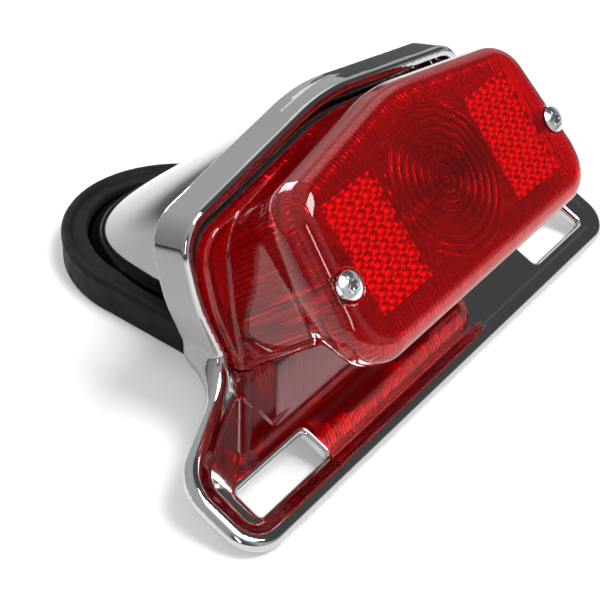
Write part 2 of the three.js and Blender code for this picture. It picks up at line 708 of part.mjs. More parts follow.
lampGroup.add(
  piece('lens', makeLens(), redPlastic),
  piece('plate_window', makeWindow(), clearPlastic),
);

bulbGroup.add(
  piece('bulb_socket', makeSocket(), zinc),
  piece('bulb_glass', makeGlass(), glass),
  piece('bulb_cap', makeCap(), brass),
  piece('bulb_stem', makeStem(), glass),
  piece('filament_tail', makeFilament(-15, 2.2).translate(0, 0, -1.2), tungsten),
  piece('filament_stop', makeFilament(-17.5, 3.2).translate(0, 0, 1.2), tungsten),
  piece('contact_disc', makeContactDisc(), paperBoard),
  piece('contact_spring', tube(new Helix(), SPRING.wire, 36, 5), steel),
);

for (const [name, side] of [['left', -1], ['right', 1]]) {
  lampGroup.add(
    piece(`reflex_${name}`, makeReflex(side), redPlastic),
    at(piece(`lens_screw_${name}`, makeLensScrew(), zinc), side * SCREW_X, 0, 0),
  );
  seatGroup.add(
    at(piece(`plate_screw_${name}`, makePlateScrew(), zinc), side * PLATE_SCREW.x, 0, PLATE_SCREW.z),
    at(piece(`socket_rivet_${name}`, makeRivet(), steel), side * RIVET_X, 0, BULB_Z),
  );
}

for (const [name, side, leadFinish] of [['tail', -1, brownLead], ['stop', 1, redLead]]) {
  bulbGroup.add(
    at(piece(`bulb_contact_${name}`, makeBulbContact(), solder), side * CONTACT_X, 0, 0),
    at(piece(`contact_pin_${name}`, makeContactPin(), brass), side * CONTACT_X, 0, 0),
  );
  tailLight.add(piece(`lead_${name}`, makeLead(LEADS[name]), leadFinish));
}
tailLight.add(piece('lead_earth', makeLead(LEADS.earth), blackLead));

for (const name of Object.keys(LEADS)) {
  tailLight.add(piece(`bullet_${name}`, makeBullet(LEADS[name].bullet), brass));
}

export default tailLight;
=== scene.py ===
"""Looks of a motorcycle tail light: chromed housing, red moulded lens, rubber gasket and bayonet bulb.

Every shape is worked out in millimetres in one of the part's own working frames, and turned into metres
when its mesh is made. The big pieces are signed distance fields, meshed on a lattice.
"""
import json
import math

import bmesh
import bpy
import numpy as np
from mathutils import Matrix, Vector


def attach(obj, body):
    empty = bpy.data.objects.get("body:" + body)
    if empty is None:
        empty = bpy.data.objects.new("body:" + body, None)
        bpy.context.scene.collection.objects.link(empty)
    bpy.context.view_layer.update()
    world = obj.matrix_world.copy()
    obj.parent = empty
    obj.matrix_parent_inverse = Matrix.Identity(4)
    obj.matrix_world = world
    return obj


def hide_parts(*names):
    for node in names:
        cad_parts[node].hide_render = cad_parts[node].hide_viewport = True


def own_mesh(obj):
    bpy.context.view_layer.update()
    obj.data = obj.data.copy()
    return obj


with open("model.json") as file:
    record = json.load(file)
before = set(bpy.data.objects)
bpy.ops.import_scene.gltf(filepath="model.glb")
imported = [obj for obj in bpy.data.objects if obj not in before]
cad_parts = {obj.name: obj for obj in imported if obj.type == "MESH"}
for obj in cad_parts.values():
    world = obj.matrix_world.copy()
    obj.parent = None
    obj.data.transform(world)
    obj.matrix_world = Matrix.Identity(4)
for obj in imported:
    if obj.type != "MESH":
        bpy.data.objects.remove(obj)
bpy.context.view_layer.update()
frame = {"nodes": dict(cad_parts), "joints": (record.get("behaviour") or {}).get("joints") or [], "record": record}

MM = 0.001
COARSE = 1.0

# ------------------------------------------------------------------ working frames


class Frame:
    """Axes x (across), y and z, where x stays level. Points are rows of millimetres."""

    def __init__(self, y_axis, origin=(0, 0, 0)):
        y = np.array(y_axis, float) / np.linalg.norm(y_axis)
        self.axes = np.array([[1, 0, 0], y, np.cross([1, 0, 0], y)])
        self.origin = np.array(origin, float)

    def local(self, points):
        return (points - self.origin) @ self.axes.T

    def world(self, points):
        return np.asarray(points, float) @ self.axes + self.origin


def vertices(node):
    return np.array([v.co for v in frame["nodes"][node].data.vertices], float) / MM


joints = {j["name"]: j for j in frame["joints"]}
mounts = {m["name"]: m for m in frame["record"]["mounts"]}

# The lamp frame's y runs into the lamp from its front face, with z = 0 between the two lens screws.
lamp = Frame(-np.array(joints["lens_lift_off"]["axis"]))
screw_z = lamp.local(vertices("lens_screw_left"))[:, 2]
lamp.origin = lamp.world([0, lamp.local(vertices("lens"))[:, 1].min(), (screw_z.min() + screw_z.max()) / 2])

# The seat frame's y = 0 is the front of the pan's rim. The bulb's axis stands BULB_LEVEL above its origin.
BULB_LEVEL = 24.5
bulb = Frame(joints["contact_push"]["axis"], np.array(joints["bulb_twist"]["pos_m"]) / MM)
seat = Frame(joints["contact_push"]["axis"], bulb.world([0, 0, -BULB_LEVEL]))

# The bracket frame's y runs up the plate bracket's slope and z out of its front.
MOUNT_LEVEL = 4
plate_mount = mounts["plate_bracket_face"]
bracket = Frame(np.cross(plate_mount["axis"], [1, 0, 0]), np.array(plate_mount["pos_m"]) / MM)
bracket.origin = bracket.world([0, -MOUNT_LEVEL, 0])
ground = Frame((0, 1, 0))

# ------------------------------------------------------------------ driving dimensions, in millimetres

# The casting's pan, with its rounded rim and cavity.
PAN_DEPTH, PAN_FLOOR, PAN_WALL = 11, 7.5, 3
RIM_ROUNDING, CAVITY_ROUNDING, CAVITY_EDGE, CAVITY_AHEAD = 1.4, 1, 0.8, 20
FLARE, FLARE_HEIGHT = 5, 7
# The plate bracket, its bevelled border, its slots and its raised lip.
BRACKET_THICK, BRACKET_ROUNDING, FOLD_FILLET, FRONT_SKIN = 3.9, 1.3, 6, 0.05
BEVEL_WIDTH, BEVEL_DROP, BEVEL_SOFTNESS = 6, 0.9, 0.06
LIP_WIDTH, LIP_HEIGHT, LIP_START, LIP_RUN = 3.2, 3.0, 21, 13
LIP_POWER, LIP_ROOT, LIP_END, LIP_FILLET = 1.5, 2, 42, 3
SLOT_INNER, SLOT_OUTER, SLOT_HEIGHT, SLOT_CORNER, SLOT_EDGE = 50, 76, 8.3, 1.2, 1.5
# The nacelle and its foot.
NACELLE_RADIUS, NACELLE_WALL, NACELLE_AXIS, NACELLE_REAR, NACELLE_FILLET = 29, 2.5, 10, -41.8, 3
FOOT_LEVEL = 4.3
# The casting's bosses and holes.
FENDER_BOLTS = [(0, 14), (21, -28), (-21, -28)]
BOLT_BOSS, BOLT_BOSS_TOP, BOLT_HOLE, BOLT_HOLE_TOP = 5, 20, 2.5, 16
SCREW_X, SCREW_HOLE, SCREW_HOLE_FRONT = 46, 2.3, 5
SCREW_BOSS, BOSS_FRONT, SCREW_BOSS_BACK, SCREW_BOSS_ROUNDING = 5, 6.5, 14, 0.8
PLATE_SCREW_X, PLATE_SCREW_Z, PLATE_SCREW_HOLE = 30, 12, 1.8
PLATE_BOSS, PLATE_BOSS_BACK, PLATE_BOSS_ROUNDING = 4, 9, 0.4
SOCKET_RADIUS, SOCKET_CLEARANCE, OPENING_FRONT, OPENING_BACK = 8.8, 3, 5, 16
RIVET_X, RIVET_HOLE = 14, 1.3
# The fender gasket: a low web, a step round the nacelle and a ridge round the edge.
GASKET_NOSE_HALF, GASKET_SHOULDER, GASKET_NOSE = 34.5, 3, 42
WEB_TOP, WEB_ROUNDING = 4, 0.9
STEP_TOP, STEP_WIDTH, STEP_ROUNDING, STEP_GAP = 9.1, 7.5, 0.6, 0.5
RIDGE_TOP, RIDGE_WIDTH, RIDGE_ROUNDING, RIDGE_FILLET = 10, 3.2, 1.1, 0.3
CREASE_DEPTH, CREASE_LEVEL, CREASE_SPREAD = 0.7, 5.2, 1.6
WIRE_HOLE, WIRE_HOLE_Y, GASKET_BOLT_HOLE = 8, -17, 3.3
# The lens: face block, body, flange, flutes, rings and the opening for the window.
LENS_WALL, FACE_BLOCK, FACE_ROUNDING, FACE_FILLET = 2.5, 14, 5.5, 4
BODY_START, BODY_ROUNDING, HOLLOW_ROUNDING, HOLLOW_EDGE, HOLLOW_BACK = 8, 0.2, 3, 0.3, 10
FLANGE_FRONT, FLANGE_BACK, FLANGE_ROUNDING, FLANGE_FILLET = -1.5, 2.5, 1.3, 1.2
FLUTE_PITCH, FLUTE_DEPTH, FLUTE_TURN_X = 1.35, 0.34, 43.5
RING_CENTRE_Z, RING_FIRST, RING_PITCH, RING_DEPTH, RING_LAST = 5.3, 0.6, 2.4, 0.95, 19.6
REFLEX_INNER, REFLEX_OUTER, REFLEX_LOW, REFLEX_HIGH, REFLEX_BORDER = 20.2, 40, -11, 18, 0.5
COLUMN_RADIUS, HEAD_RECESS, HEAD_RECESS_DEPTH, HEAD_RECESS_EDGE = 3.6, 4, 1.5, 0.5
WINDOW_HALF, WINDOW_FRONT, WINDOW_BACK, WINDOW_TOP = 36.3, 16.7, 38.3, -5.8
BRACKET_GAP, LENS_STEEPNESS = 0.5, 0.9
WINDOW_FLUTE_DEPTH, WINDOW_ROUNDING = 0.45, 0.25
# A lens screw: domed head with a cross recess, and a threaded shank.
HEAD_RADIUS, HEAD_BACK, DOME_RADIUS, DOME_CENTRE = 3.5, 1.1, 6.8, 5.6
SHANK_RADIUS, SHANK_START, SHANK_END, SHANK_ROUNDING = 2, 1, 54, 0.6
THREAD_DEPTH, THREAD_PITCH = 0.16, 0.8
RECESS_TURN, RECESS_HALF, RECESS_REACH, RECESS_TAPER, RECESS_TOP = 24, 0.5, 2.1, 0.25, 1.2
RECESS_CORE, RECESS_DEPTH, RECESS_EDGE = 1.0, 0.5, 0.15
# The seal and the plate behind the lens, measured from the pan's rim.
SEAL_FRONT, SEAL_BACK, SEAL_BEAD, SEAL_WIDTH, SEAL_EYE = 2.8, 4.8, 0.18, 4, 4.6
SEAL_LOW, SEAL_INNER_LOW, BASE_LOW, FLANGE_GAP = 4.5, 8.5, 6, 1
BASE_FRONT, BASE_BACK, BASE_SCREW_HOLE, SOCKET_GAP, SHEET_ROUNDING = 5.1, 6.1, 2.8, 0.5, 0.25
# The socket and the bulb's cap, measured along the bulb from the plate.
SOCKET_FRONT, SOCKET_BACK, SOCKET_BORE, SOCKET_LIP, SOCKET_LIP_START = 3.8, 30, 7.8, 5, 29
SOCKET_ROUNDING, SOCKET_FILLET, SOCKET_FLANGE_BACK = 0.6, 0.8, 4.8
SOCKET_FLANGE_X, SOCKET_FLANGE_Z, SOCKET_FLANGE_CORNER = 18, 10, 4
BAYONET_PINS = ((1, 12), (-1, 14.5))
WINDOW_MIDDLE, WINDOW_SWEEP, MOUTH_MIDDLE, MOUTH_SWEEP = 9, 19.3, 20, 8.3
BAYONET_AHEAD, BAYONET_BEHIND = 1.2, 3.7
CAP_RADIUS, CAP_FRONT, CAP_BACK, CAP_ROUNDING = 7.5, 5, 20, 0.9
KNURL_DEPTH, KNURL_DEGREES, KNURL_LEVEL, KNURL_HALF = 0.08, 9, 7, 1.6
PIN_RADIUS, PIN_ROOT, PIN_TIP, PIN_ROUNDING = 0.9, 5.9, 8.9, 0.3
# The bulb's glass and filaments.
GLASS_CENTRE, GLASS_NECK_RUN, GLASS_BACK, GLASS_SWEEP = -16, 13.5, 4.7, 0.78
GLASS_RADIUS, GLASS_NECK, GLASS_INNER_RADIUS, GLASS_INNER_NECK = 12.5, 6.8, 11.7, 6.0
FILAMENTS = (("tail", -1, -15, 2.2, -1.2), ("stop", 1, -17.5, 3.2, 1.2))
FILAMENT_WIRE, FILAMENT_COIL, FILAMENT_TURNS, SUPPORT_FOOT = 0.13, 0.3, 9, -8.6
# The contacts.
CONTACT_X, CONTACT_HOLE = 3.2, 1.35
BOARD_RADIUS, BOARD_FRONT, BOARD_BACK, BOARD_ROUNDING = 7.3, 22.8, 24.1, 0.2
SPRING_RADIUS, SPRING_FRONT, SPRING_LENGTH, SPRING_TURNS, SPRING_WIRE = 6.4, 24.8, 3.5, 3, 0.34
SPRING_KEEP, SPRING_POINTS = 0.42, 150
# The leads inside the nacelle: name, the bullet's x, and the start's x and z in the bulb frame.
LEADS = (("tail", -8, (-3.2, 0)), ("stop", 8, (3.2, 0)), ("earth", 0, (0, -6.4)))
LEAD_RADIUS, LEAD_START, LEAD_STRAIGHT, BULLET_Y, BULLET_Z = 0.97, 30.6, 33, -8, 8.6
# Each lead's bends, as how far they lie ahead of its bullet and above it. The first is halfway across.
LEAD_BENDS = ((1, 18), (3.6, 8), (4.6, 3), (2.8, 0.2), (0.6, 0))
LEAD_POINTS = 90

# ------------------------------------------------------------------ signed distances


class Outline:
    """A closed outline of corners (x, y, radius), anticlockwise, with its exact signed distance."""

    def __init__(self, corners):
        self.lines, self.arcs = [], []
        count = len(corners)
        ends = []
        for i, (x, y, radius) in enumerate(corners):
            corner = np.array([x, y], float)
            to_before = np.array(corners[i - 1][:2], float) - corner
            to_after = np.array(corners[(i + 1) % count][:2], float) - corner
            to_before /= np.linalg.norm(to_before)
            to_after /= np.linalg.norm(to_after)
            half = math.acos(np.clip(to_before @ to_after, -1, 1)) / 2
            middle = (to_before + to_after) / np.linalg.norm(to_before + to_after)
            centre = corner + middle * radius / math.sin(half)
            start = corner + to_before * radius / math.tan(half)
            end = corner + to_after * radius / math.tan(half)
            turn = 1 if cross(-to_before, to_after) > 0 else -1
            self.arcs.append((centre, start - centre, end - centre, radius, turn))
            ends.append((start, end))
        for i in range(count):
            self.lines.append((ends[i][1], ends[(i + 1) % count][0]))

    def distance(self, x, y):
        best = np.full(np.shape(x), 1e9)
        for start, end in self.lines:
            along = end - start
            length = np.hypot(*along)
            if length < 1e-9:
                continue
            ax, ay = x - start[0], y - start[1]
            t = np.clip((ax * along[0] + ay * along[1]) / length**2, 0, 1)
            gap = np.hypot(ax - t * along[0], ay - t * along[1])
            gap = np.where(along[0] * ay - along[1] * ax > 0, -gap, gap)
            best = np.where(np.abs(gap) < np.abs(best), gap, best)
        for centre, first, last, radius, turn in self.arcs:
            vx, vy = x - centre[0], y - centre[1]
            past_first = turn * (first[0] * vy - first[1] * vx) >= 0
            before_last = turn * (vx * last[1] - vy * last[0]) >= 0
            within = past_first & before_last
            gap = turn * (np.hypot(vx, vy) - radius)
            best = np.where(within & (np.abs(gap) < np.abs(best)), gap, best)
        return best


def cross(a, b):
    return a[0] * b[1] - a[1] * b[0]


def mirrored(right_half):
    left = [(-x, y, r) for x, y, r in right_half if x > 0]
    return right_half + left[::-1]


def rectangle(left, bottom, right, top, radius):
    corners = ((right, bottom), (right, top), (left, top), (left, bottom))
    return Outline([(x, y, radius) for x, y in corners])


def prism(outline_gap, before, after, rounding=0.0):
    """The distance to a prism, from its outline's distance and how far a point is past each end."""
    a = outline_gap + rounding
    b = np.maximum(before, after) + rounding
    return np.minimum(np.maximum(a, b), 0) + np.hypot(np.maximum(a, 0), np.maximum(b, 0)) - rounding


def weld(a, b, fillet):
    """The union of two solids, with a round fillet where they meet."""
    corner = np.hypot(np.maximum(fillet - a, 0), np.maximum(fillet - b, 0))
    return np.maximum(fillet, np.minimum(a, b)) - corner


def carve(a, b, rounding):
    """Solid a without b, with a rounded edge round the cut."""
    corner = np.hypot(np.maximum(rounding + a, 0), np.maximum(rounding - b, 0))
    return np.minimum(-rounding, np.maximum(a, -b)) + corner


def eased(t):
    t = np.clip(t, 0, 1)
    return t * t * (3 - 2 * t)


def scallops(coordinate, pitch):
    """1 on the ridges between round flutes, and 0 at the bottom of each."""
    phase = np.abs((coordinate / pitch) % 1 - 0.5) * 2
    return phase**2


RIM = Outline(mirrored([(54.5, 0, 2.5), (59.6, 22, 45), (59.8, 42.4, 11), (0, 53.2, 60)]))
RIM_OPEN = Outline(mirrored([(51.7, -12, 0.5), (59.6, 22, 45), (59.8, 42.4, 11), (0, 53.2, 60)]))
FLANGE = Outline(mirrored([(50.5, -2, 3), (55.6, 20, 45), (55.1, 37.6, 9), (0, 46.4, 60)]))
FACE = Outline(mirrored([(50.3, -21, 11), (51.6, -8, 14), (47.4, 24.4, 11), (0, 32.6, 45)]))
BODY = Outline(mirrored([(49.8, -10.5, 3), (49.6, 4, 40), (46.6, 23.4, 10), (0, 31.6, 45)]))
BRACKET = Outline(mirrored([(85.4, -6.5, 9), (85.4, 18, 13), (66, 27, 9), (54.5, 33, 12), (54.5, 41, 0.5)]))
GASKET_SIDES = Outline(mirrored([(37.5, -47.5, 10), (34.5, 3, 0.5), (31, 62, 0.5)]))


def housing_field(points):
    """The chromed casting: pan, plate bracket and nacelle, in the row frame."""
    xs, ys, zs = seat.local(points).T
    xb, sb, nb = bracket.local(points).T
    xl, _, zl = lamp.local(points).T
    x, y, z = points.T

    # Near the fold the rim's sides flare out, to meet the bracket's edge.
    flared = np.abs(xs) - FLARE * eased((FLARE_HEIGHT - zs) / (FLARE_HEIGHT + 1)) * eased(1 - ys / PAN_DEPTH)
    pan = prism(RIM.distance(flared, zs), -ys, ys - PAN_DEPTH, RIM_ROUNDING)
    edge = BRACKET.distance(xb, sb)
    slope = BEVEL_DROP * (np.hypot(np.maximum(1 + edge / BEVEL_WIDTH, 0), BEVEL_SOFTNESS) - BEVEL_SOFTNESS)
    plate = prism(edge, -BRACKET_THICK - nb, nb + slope, BRACKET_ROUNDING)
    casting = weld(pan, plate, FOLD_FILLET)

    tube = np.hypot(xl, zl - NACELLE_AXIS) - NACELLE_RADIUS
    nacelle = np.maximum.reduce([tube, PAN_FLOOR + 1 - ys, NACELLE_REAR - y, FOOT_LEVEL - z])
    casting = weld(casting, nacelle, NACELLE_FILLET)

    inside_rim = RIM_OPEN.distance(flared, zs) + PAN_WALL
    cavity = prism(inside_rim, -CAVITY_AHEAD - ys, ys - PAN_FLOOR, CAVITY_ROUNDING)
    casting = carve(casting, np.maximum(cavity, FRONT_SKIN - nb), CAVITY_EDGE)

    # The rim's lip runs on down the bracket's edge and fades out on its upper corners.
    rise = LIP_HEIGHT * np.clip((sb - LIP_START) / LIP_RUN, 0, 1) ** LIP_POWER
    band = np.abs(edge + LIP_WIDTH / 2) - LIP_WIDTH / 2
    lip = prism(band, -LIP_ROOT - nb, np.maximum(nb - rise, sb - LIP_END), BRACKET_ROUNDING)
    casting = weld(casting, lip, LIP_FILLET)
    hollow = np.maximum.reduce([tube + NACELLE_WALL, PAN_DEPTH - ys, NACELLE_REAR + NACELLE_WALL - y])
    casting = np.maximum(casting, -hollow)

    for bolt_x, bolt_y in FENDER_BOLTS:
        reach = np.hypot(x - bolt_x, y - bolt_y)
        boss = np.maximum.reduce([reach - BOLT_BOSS, FOOT_LEVEL - z, z - BOLT_BOSS_TOP, tube])
        casting = np.minimum(casting, boss)
        casting = np.maximum(casting, -np.maximum(reach - BOLT_HOLE, z - BOLT_HOLE_TOP))
    for side in (1, -1):
        reach = np.hypot(xl - side * SCREW_X, zl)
        boss = prism(reach - SCREW_BOSS, BOSS_FRONT - ys, ys - SCREW_BOSS_BACK, SCREW_BOSS_ROUNDING)
        casting = np.minimum(casting, boss)
        casting = np.maximum(casting, -np.maximum(reach - SCREW_HOLE, SCREW_HOLE_FRONT - ys))
        reach = np.hypot(xs - side * PLATE_SCREW_X, zs - PLATE_SCREW_Z)
        boss = prism(reach - PLATE_BOSS, BOSS_FRONT - ys, ys - PLATE_BOSS_BACK, PLATE_BOSS_ROUNDING)
        casting = np.minimum(casting, boss)
        casting = np.maximum(casting, -(reach - PLATE_SCREW_HOLE))
        slot_left, slot_right = sorted((side * SLOT_INNER, side * SLOT_OUTER))
        slot = rectangle(slot_left, 0, slot_right, SLOT_HEIGHT, SLOT_CORNER).distance(xb, sb)
        casting = carve(casting, slot, SLOT_EDGE)
    opening = np.maximum(np.hypot(xs, zs - BULB_LEVEL) - SOCKET_RADIUS - SOCKET_CLEARANCE, OPENING_FRONT - ys)
    return np.maximum(casting, -np.maximum(opening, ys - OPENING_BACK))


def lens_field(points):
    """The lens in the lamp frame. Its outside is smooth, and the flutes and rings are on its inside."""
    x, y, z = points.T
    row = lamp.world(points)
    _, ys, zs = seat.local(row).T
    nb = bracket.local(row)[:, 2]
    face, body = FACE.distance(x, z), BODY.distance(x, z)

    block = prism(face, -y, y - FACE_BLOCK, FACE_ROUNDING)
    barrel = prism(body, BODY_START - y, ys - FLANGE_BACK, BODY_ROUNDING)
    shell = weld(block, barrel, FACE_FILLET)
    flange = prism(FLANGE.distance(x, zs), FLANGE_FRONT - ys, ys - FLANGE_BACK, FLANGE_ROUNDING)
    shell = weld(shell, flange, FLANGE_FILLET)

    radius = np.hypot(x, z - RING_CENTRE_Z)
    rings = scallops(radius - RING_FIRST, RING_PITCH)
    front = np.where(radius < RING_LAST, 1 + (rings - 1) * RING_DEPTH / FLUTE_DEPTH, scallops(x, FLUTE_PITCH))
    panel = (np.abs(x) > REFLEX_INNER - REFLEX_BORDER) & (np.abs(x) < REFLEX_OUTER + REFLEX_BORDER)
    panel &= (z > REFLEX_LOW - REFLEX_BORDER) & (z < REFLEX_HIGH + REFLEX_BORDER)
    front = np.where(panel, 1, front)
    side = scallops(np.where(np.abs(x) > FLUTE_TURN_X, z, x), FLUTE_PITCH)
    inside_face = face + LENS_WALL + FLUTE_DEPTH * (side - 1)
    behind_front = LENS_WALL - y + FLUTE_DEPTH * (front - 1)
    cut_face = prism(inside_face, behind_front, y - FACE_BLOCK + LENS_WALL, HOLLOW_ROUNDING)
    inside_body = body + LENS_WALL + FLUTE_DEPTH * (side - 1)
    cut_body = prism(inside_body, BODY_START - y, ys - HOLLOW_BACK, HOLLOW_EDGE)
    hollow = np.minimum(cut_face, cut_body)
    for sign in (1, -1):
        column = np.hypot(x - sign * SCREW_X, z) - COLUMN_RADIUS
        hollow = np.maximum(hollow, -column)
    shell = np.maximum(shell, -hollow)
    for sign in (1, -1):
        reach = np.hypot(x - sign * SCREW_X, z)
        shell = carve(shell, np.maximum(reach - HEAD_RECESS, y - HEAD_RECESS_DEPTH), HEAD_RECESS_EDGE)
        shell = np.maximum(shell, SCREW_HOLE - reach)
    window = np.maximum.reduce([np.abs(x) - WINDOW_HALF, WINDOW_FRONT - y, y - WINDOW_BACK, z - WINDOW_TOP])
    shell = np.maximum(shell, -window)
    return np.maximum(shell, BRACKET_GAP - nb) * LENS_STEEPNESS


def gasket_field(points):
    """The rubber pad in the row frame, with a half ellipse for its nose."""
    x, y, z = points.T
    nose_length = GASKET_NOSE - GASKET_SHOULDER
    ahead = y - GASKET_SHOULDER
    near = np.hypot(x / GASKET_NOSE_HALF, ahead / nose_length)
    steep = np.hypot(x / GASKET_NOSE_HALF**2, ahead / nose_length**2)
    nose = near * (near - 1) / np.maximum(steep, 1e-6)
    outside = np.where(ahead > 0, nose, GASKET_SIDES.distance(x, y))
    crease = CREASE_DEPTH * np.exp(-((z - CREASE_LEVEL) / CREASE_SPREAD) ** 2)
    xl, _, zl = lamp.local(points).T
    off_nacelle = NACELLE_RADIUS + STEP_GAP - np.hypot(xl, zl - NACELLE_AXIS)
    web = prism(outside, -z, z - WEB_TOP, WEB_ROUNDING)
    step_band = np.maximum.reduce([outside, -outside - STEP_WIDTH, off_nacelle])
    step = prism(step_band, -z, z - STEP_TOP, STEP_ROUNDING)
    ridge_band = np.maximum.reduce([outside + crease, -outside - RIDGE_WIDTH, off_nacelle])
    ridge = prism(ridge_band, -z, z - RIDGE_TOP, RIDGE_ROUNDING)
    solid = weld(np.minimum(web, step), ridge, RIDGE_FILLET)
    solid = np.maximum(solid, WIRE_HOLE - np.hypot(x, y - WIRE_HOLE_Y))
    for bolt_x, bolt_y in FENDER_BOLTS:
        solid = np.maximum(solid, GASKET_BOLT_HOLE - np.hypot(x - bolt_x, y - bolt_y))
    return solid


def screw_field(points):
    """One cross-recessed screw along y, with its head's rim at y = 0."""
    x, y, z = points.T
    reach = np.hypot(x, z)
    dome = np.hypot(reach, y - DOME_CENTRE) - DOME_RADIUS
    head = np.maximum(np.maximum(reach - HEAD_RADIUS, y - HEAD_BACK), dome)
    helix = y + np.arctan2(z, x) / (2 * math.pi) * THREAD_PITCH
    thread = THREAD_DEPTH * scallops(helix, THREAD_PITCH)
    shank = prism(reach - SHANK_RADIUS + thread, -SHANK_START - y, y - SHANK_END, SHANK_ROUNDING)
    angle = math.radians(RECESS_TURN)
    u = x * math.cos(angle) + z * math.sin(angle)
    v = z * math.cos(angle) - x * math.sin(angle)
    taper = RECESS_TAPER * (y + RECESS_TOP)
    one_arm = np.maximum(np.abs(u) - RECESS_HALF, np.abs(v) - RECESS_REACH + taper)
    other_arm = np.maximum(np.abs(v) - RECESS_HALF, np.abs(u) - RECESS_REACH + taper)
    recess = np.maximum(np.minimum(np.minimum(one_arm, other_arm), reach - RECESS_CORE), y - RECESS_DEPTH)
    return np.minimum(carve(head, recess, RECESS_EDGE), shank)


# ------------------------------------------------------------------ meshes from fields

CORNERS = np.array([(i, j, k) for i in (0, 1) for j in (0, 1) for k in (0, 1)])
CELL_EDGES = [(a, b) for a in range(8) for b in range(8)
              if a < b and np.abs(CORNERS[a] - CORNERS[b]).sum() == 1]
COARSE_STRIDE, NEAR_SHARE, CHUNK = 4, 0.62, 400000
CLIP_SHARE, LEAST_SLOPE, NEWTON_STEPS = 0.5, 0.4, 2


def repeated(a):
    return a.repeat(COARSE_STRIDE, 0).repeat(COARSE_STRIDE, 1).repeat(COARSE_STRIDE, 2)


def lattice_values(field, low, counts, step):
    """The field on a lattice. Far from the surface a coarse lattice's value is repeated."""
    blocks = -(-counts // COARSE_STRIDE)
    centre = low + (np.indices(blocks).reshape(3, -1).T + 0.5) * step * COARSE_STRIDE
    coarse = field(centre).reshape(blocks)
    reach = np.linalg.norm(step) * COARSE_STRIDE * NEAR_SHARE
    near = repeated(np.abs(coarse) < reach)[: counts[0], : counts[1], : counts[2]]
    values = repeated(coarse)[: counts[0], : counts[1], : counts[2]].copy()
    at = np.argwhere(near)
    found = np.empty(len(at))
    for i in range(0, len(at), CHUNK):
        found[i:i + CHUNK] = field(low + at[i:i + CHUNK] * step)
    values[near] = found
    return values


def gradient(field, points, h=0.01):
    """The field's unit gradient, from four samples at the corners of a small tetrahedron."""
    total = np.zeros_like(points)
    for corner in ((1, -1, -1), (-1, -1, 1), (-1, 1, -1), (1, 1, 1)):
        offset = np.array(corner, float)
        total += field(points + offset * h)[:, None] * offset
    slope = np.linalg.norm(total, axis=1, keepdims=True)
    return total / np.maximum(slope, 1e-12), slope[:, 0] / (4 * h)


def surface_net(values, low, step):
    """One vertex in each lattice cell that the surface crosses, and a quad round each crossed edge."""
    inside = values < 0
    shape = np.array(values.shape) - 1
    window = [inside[i:i + shape[0], j:j + shape[1], k:k + shape[2]] for i, j, k in CORNERS]
    count = np.sum(window, axis=0, dtype=np.int8)
    cells = np.argwhere((count > 0) & (count < 8))
    number = np.full(shape, -1)
    number[tuple(cells.T)] = np.arange(len(cells))
    total, crossings = np.zeros((len(cells), 3)), np.zeros((len(cells), 1))
    for a, b in CELL_EDGES:
        value_a = values[tuple((cells + CORNERS[a]).T)]
        value_b = values[tuple((cells + CORNERS[b]).T)]
        crossed = (value_a < 0) != (value_b < 0)
        t = np.where(crossed, value_a / np.where(crossed, value_a - value_b, 1), 0)[:, None]
        total += np.where(crossed[:, None], CORNERS[a] + t * (CORNERS[b] - CORNERS[a]), 0)
        crossings += crossed[:, None]
    points = low + (cells + total / crossings) * step
    quads = []
    for axis in range(3):
        lower = [slice(None)] * 3
        upper = [slice(None)] * 3
        lower[axis], upper[axis] = slice(0, -1), slice(1, None)
        first = inside[tuple(lower)]
        edge = np.argwhere(first != inside[tuple(upper)])
        one, two = [i for i in range(3) if i != axis]
        past_start = (edge[:, one] > 0) & (edge[:, two] > 0)
        before_end = (edge[:, one] < shape[one]) & (edge[:, two] < shape[two])
        edge = edge[past_start & before_end]
        corners = []
        for back_one, back_two in ((1, 1), (0, 1), (0, 0), (1, 0)):
            cell = edge.copy()
            cell[:, one] -= back_one
            cell[:, two] -= back_two
            corners.append(number[tuple(cell.T)])
        quad = np.array(corners).T
        flip = first[tuple(edge.T)] == (axis == 1)
        quad[flip] = quad[flip][:, ::-1]
        quads.append(quad)
    return points, np.concatenate(quads)


def relaxed(points, quads):
    """Each vertex moved halfway to the middle of its neighbours."""
    total, count = np.zeros_like(points), np.zeros(len(points))
    for a, b in ((0, 1), (1, 2), (2, 3), (3, 0)):
        for start, end in ((a, b), (b, a)):
            for c in range(3):
                total[:, c] += np.bincount(quads[:, start], points[quads[:, end], c], len(points))
            count += np.bincount(quads[:, start], minlength=len(points))
    return points + 0.5 * (total / count[:, None] - points)


def field_mesh(name, field, working, low, high, step, relax=2):
    """A closed mesh of the field's zero surface, with the field's own normals."""
    step = np.array(step, float) * COARSE
    low = np.array(low, float) - 2 * step
    counts = np.ceil((np.array(high) + 2 * step - low) / step).astype(int) + 1
    points, quads = surface_net(lattice_values(field, low, counts, step), low, step)
    for turn in range(relax + 1):
        if turn < relax:
            points = relaxed(points, quads)
        for _ in range(NEWTON_STEPS):
            normal, slope = gradient(field, points)
            move = field(points) / np.maximum(slope, LEAST_SLOPE)
            points -= normal * np.clip(move, -CLIP_SHARE * step.min(), CLIP_SHARE * step.min())[:, None]
    normal, _ = gradient(field, points)
    piece = mesh_object(name, working.world(points), quads)
    piece.data.normals_split_custom_set_from_vertices(normal @ working.axes)
    return piece


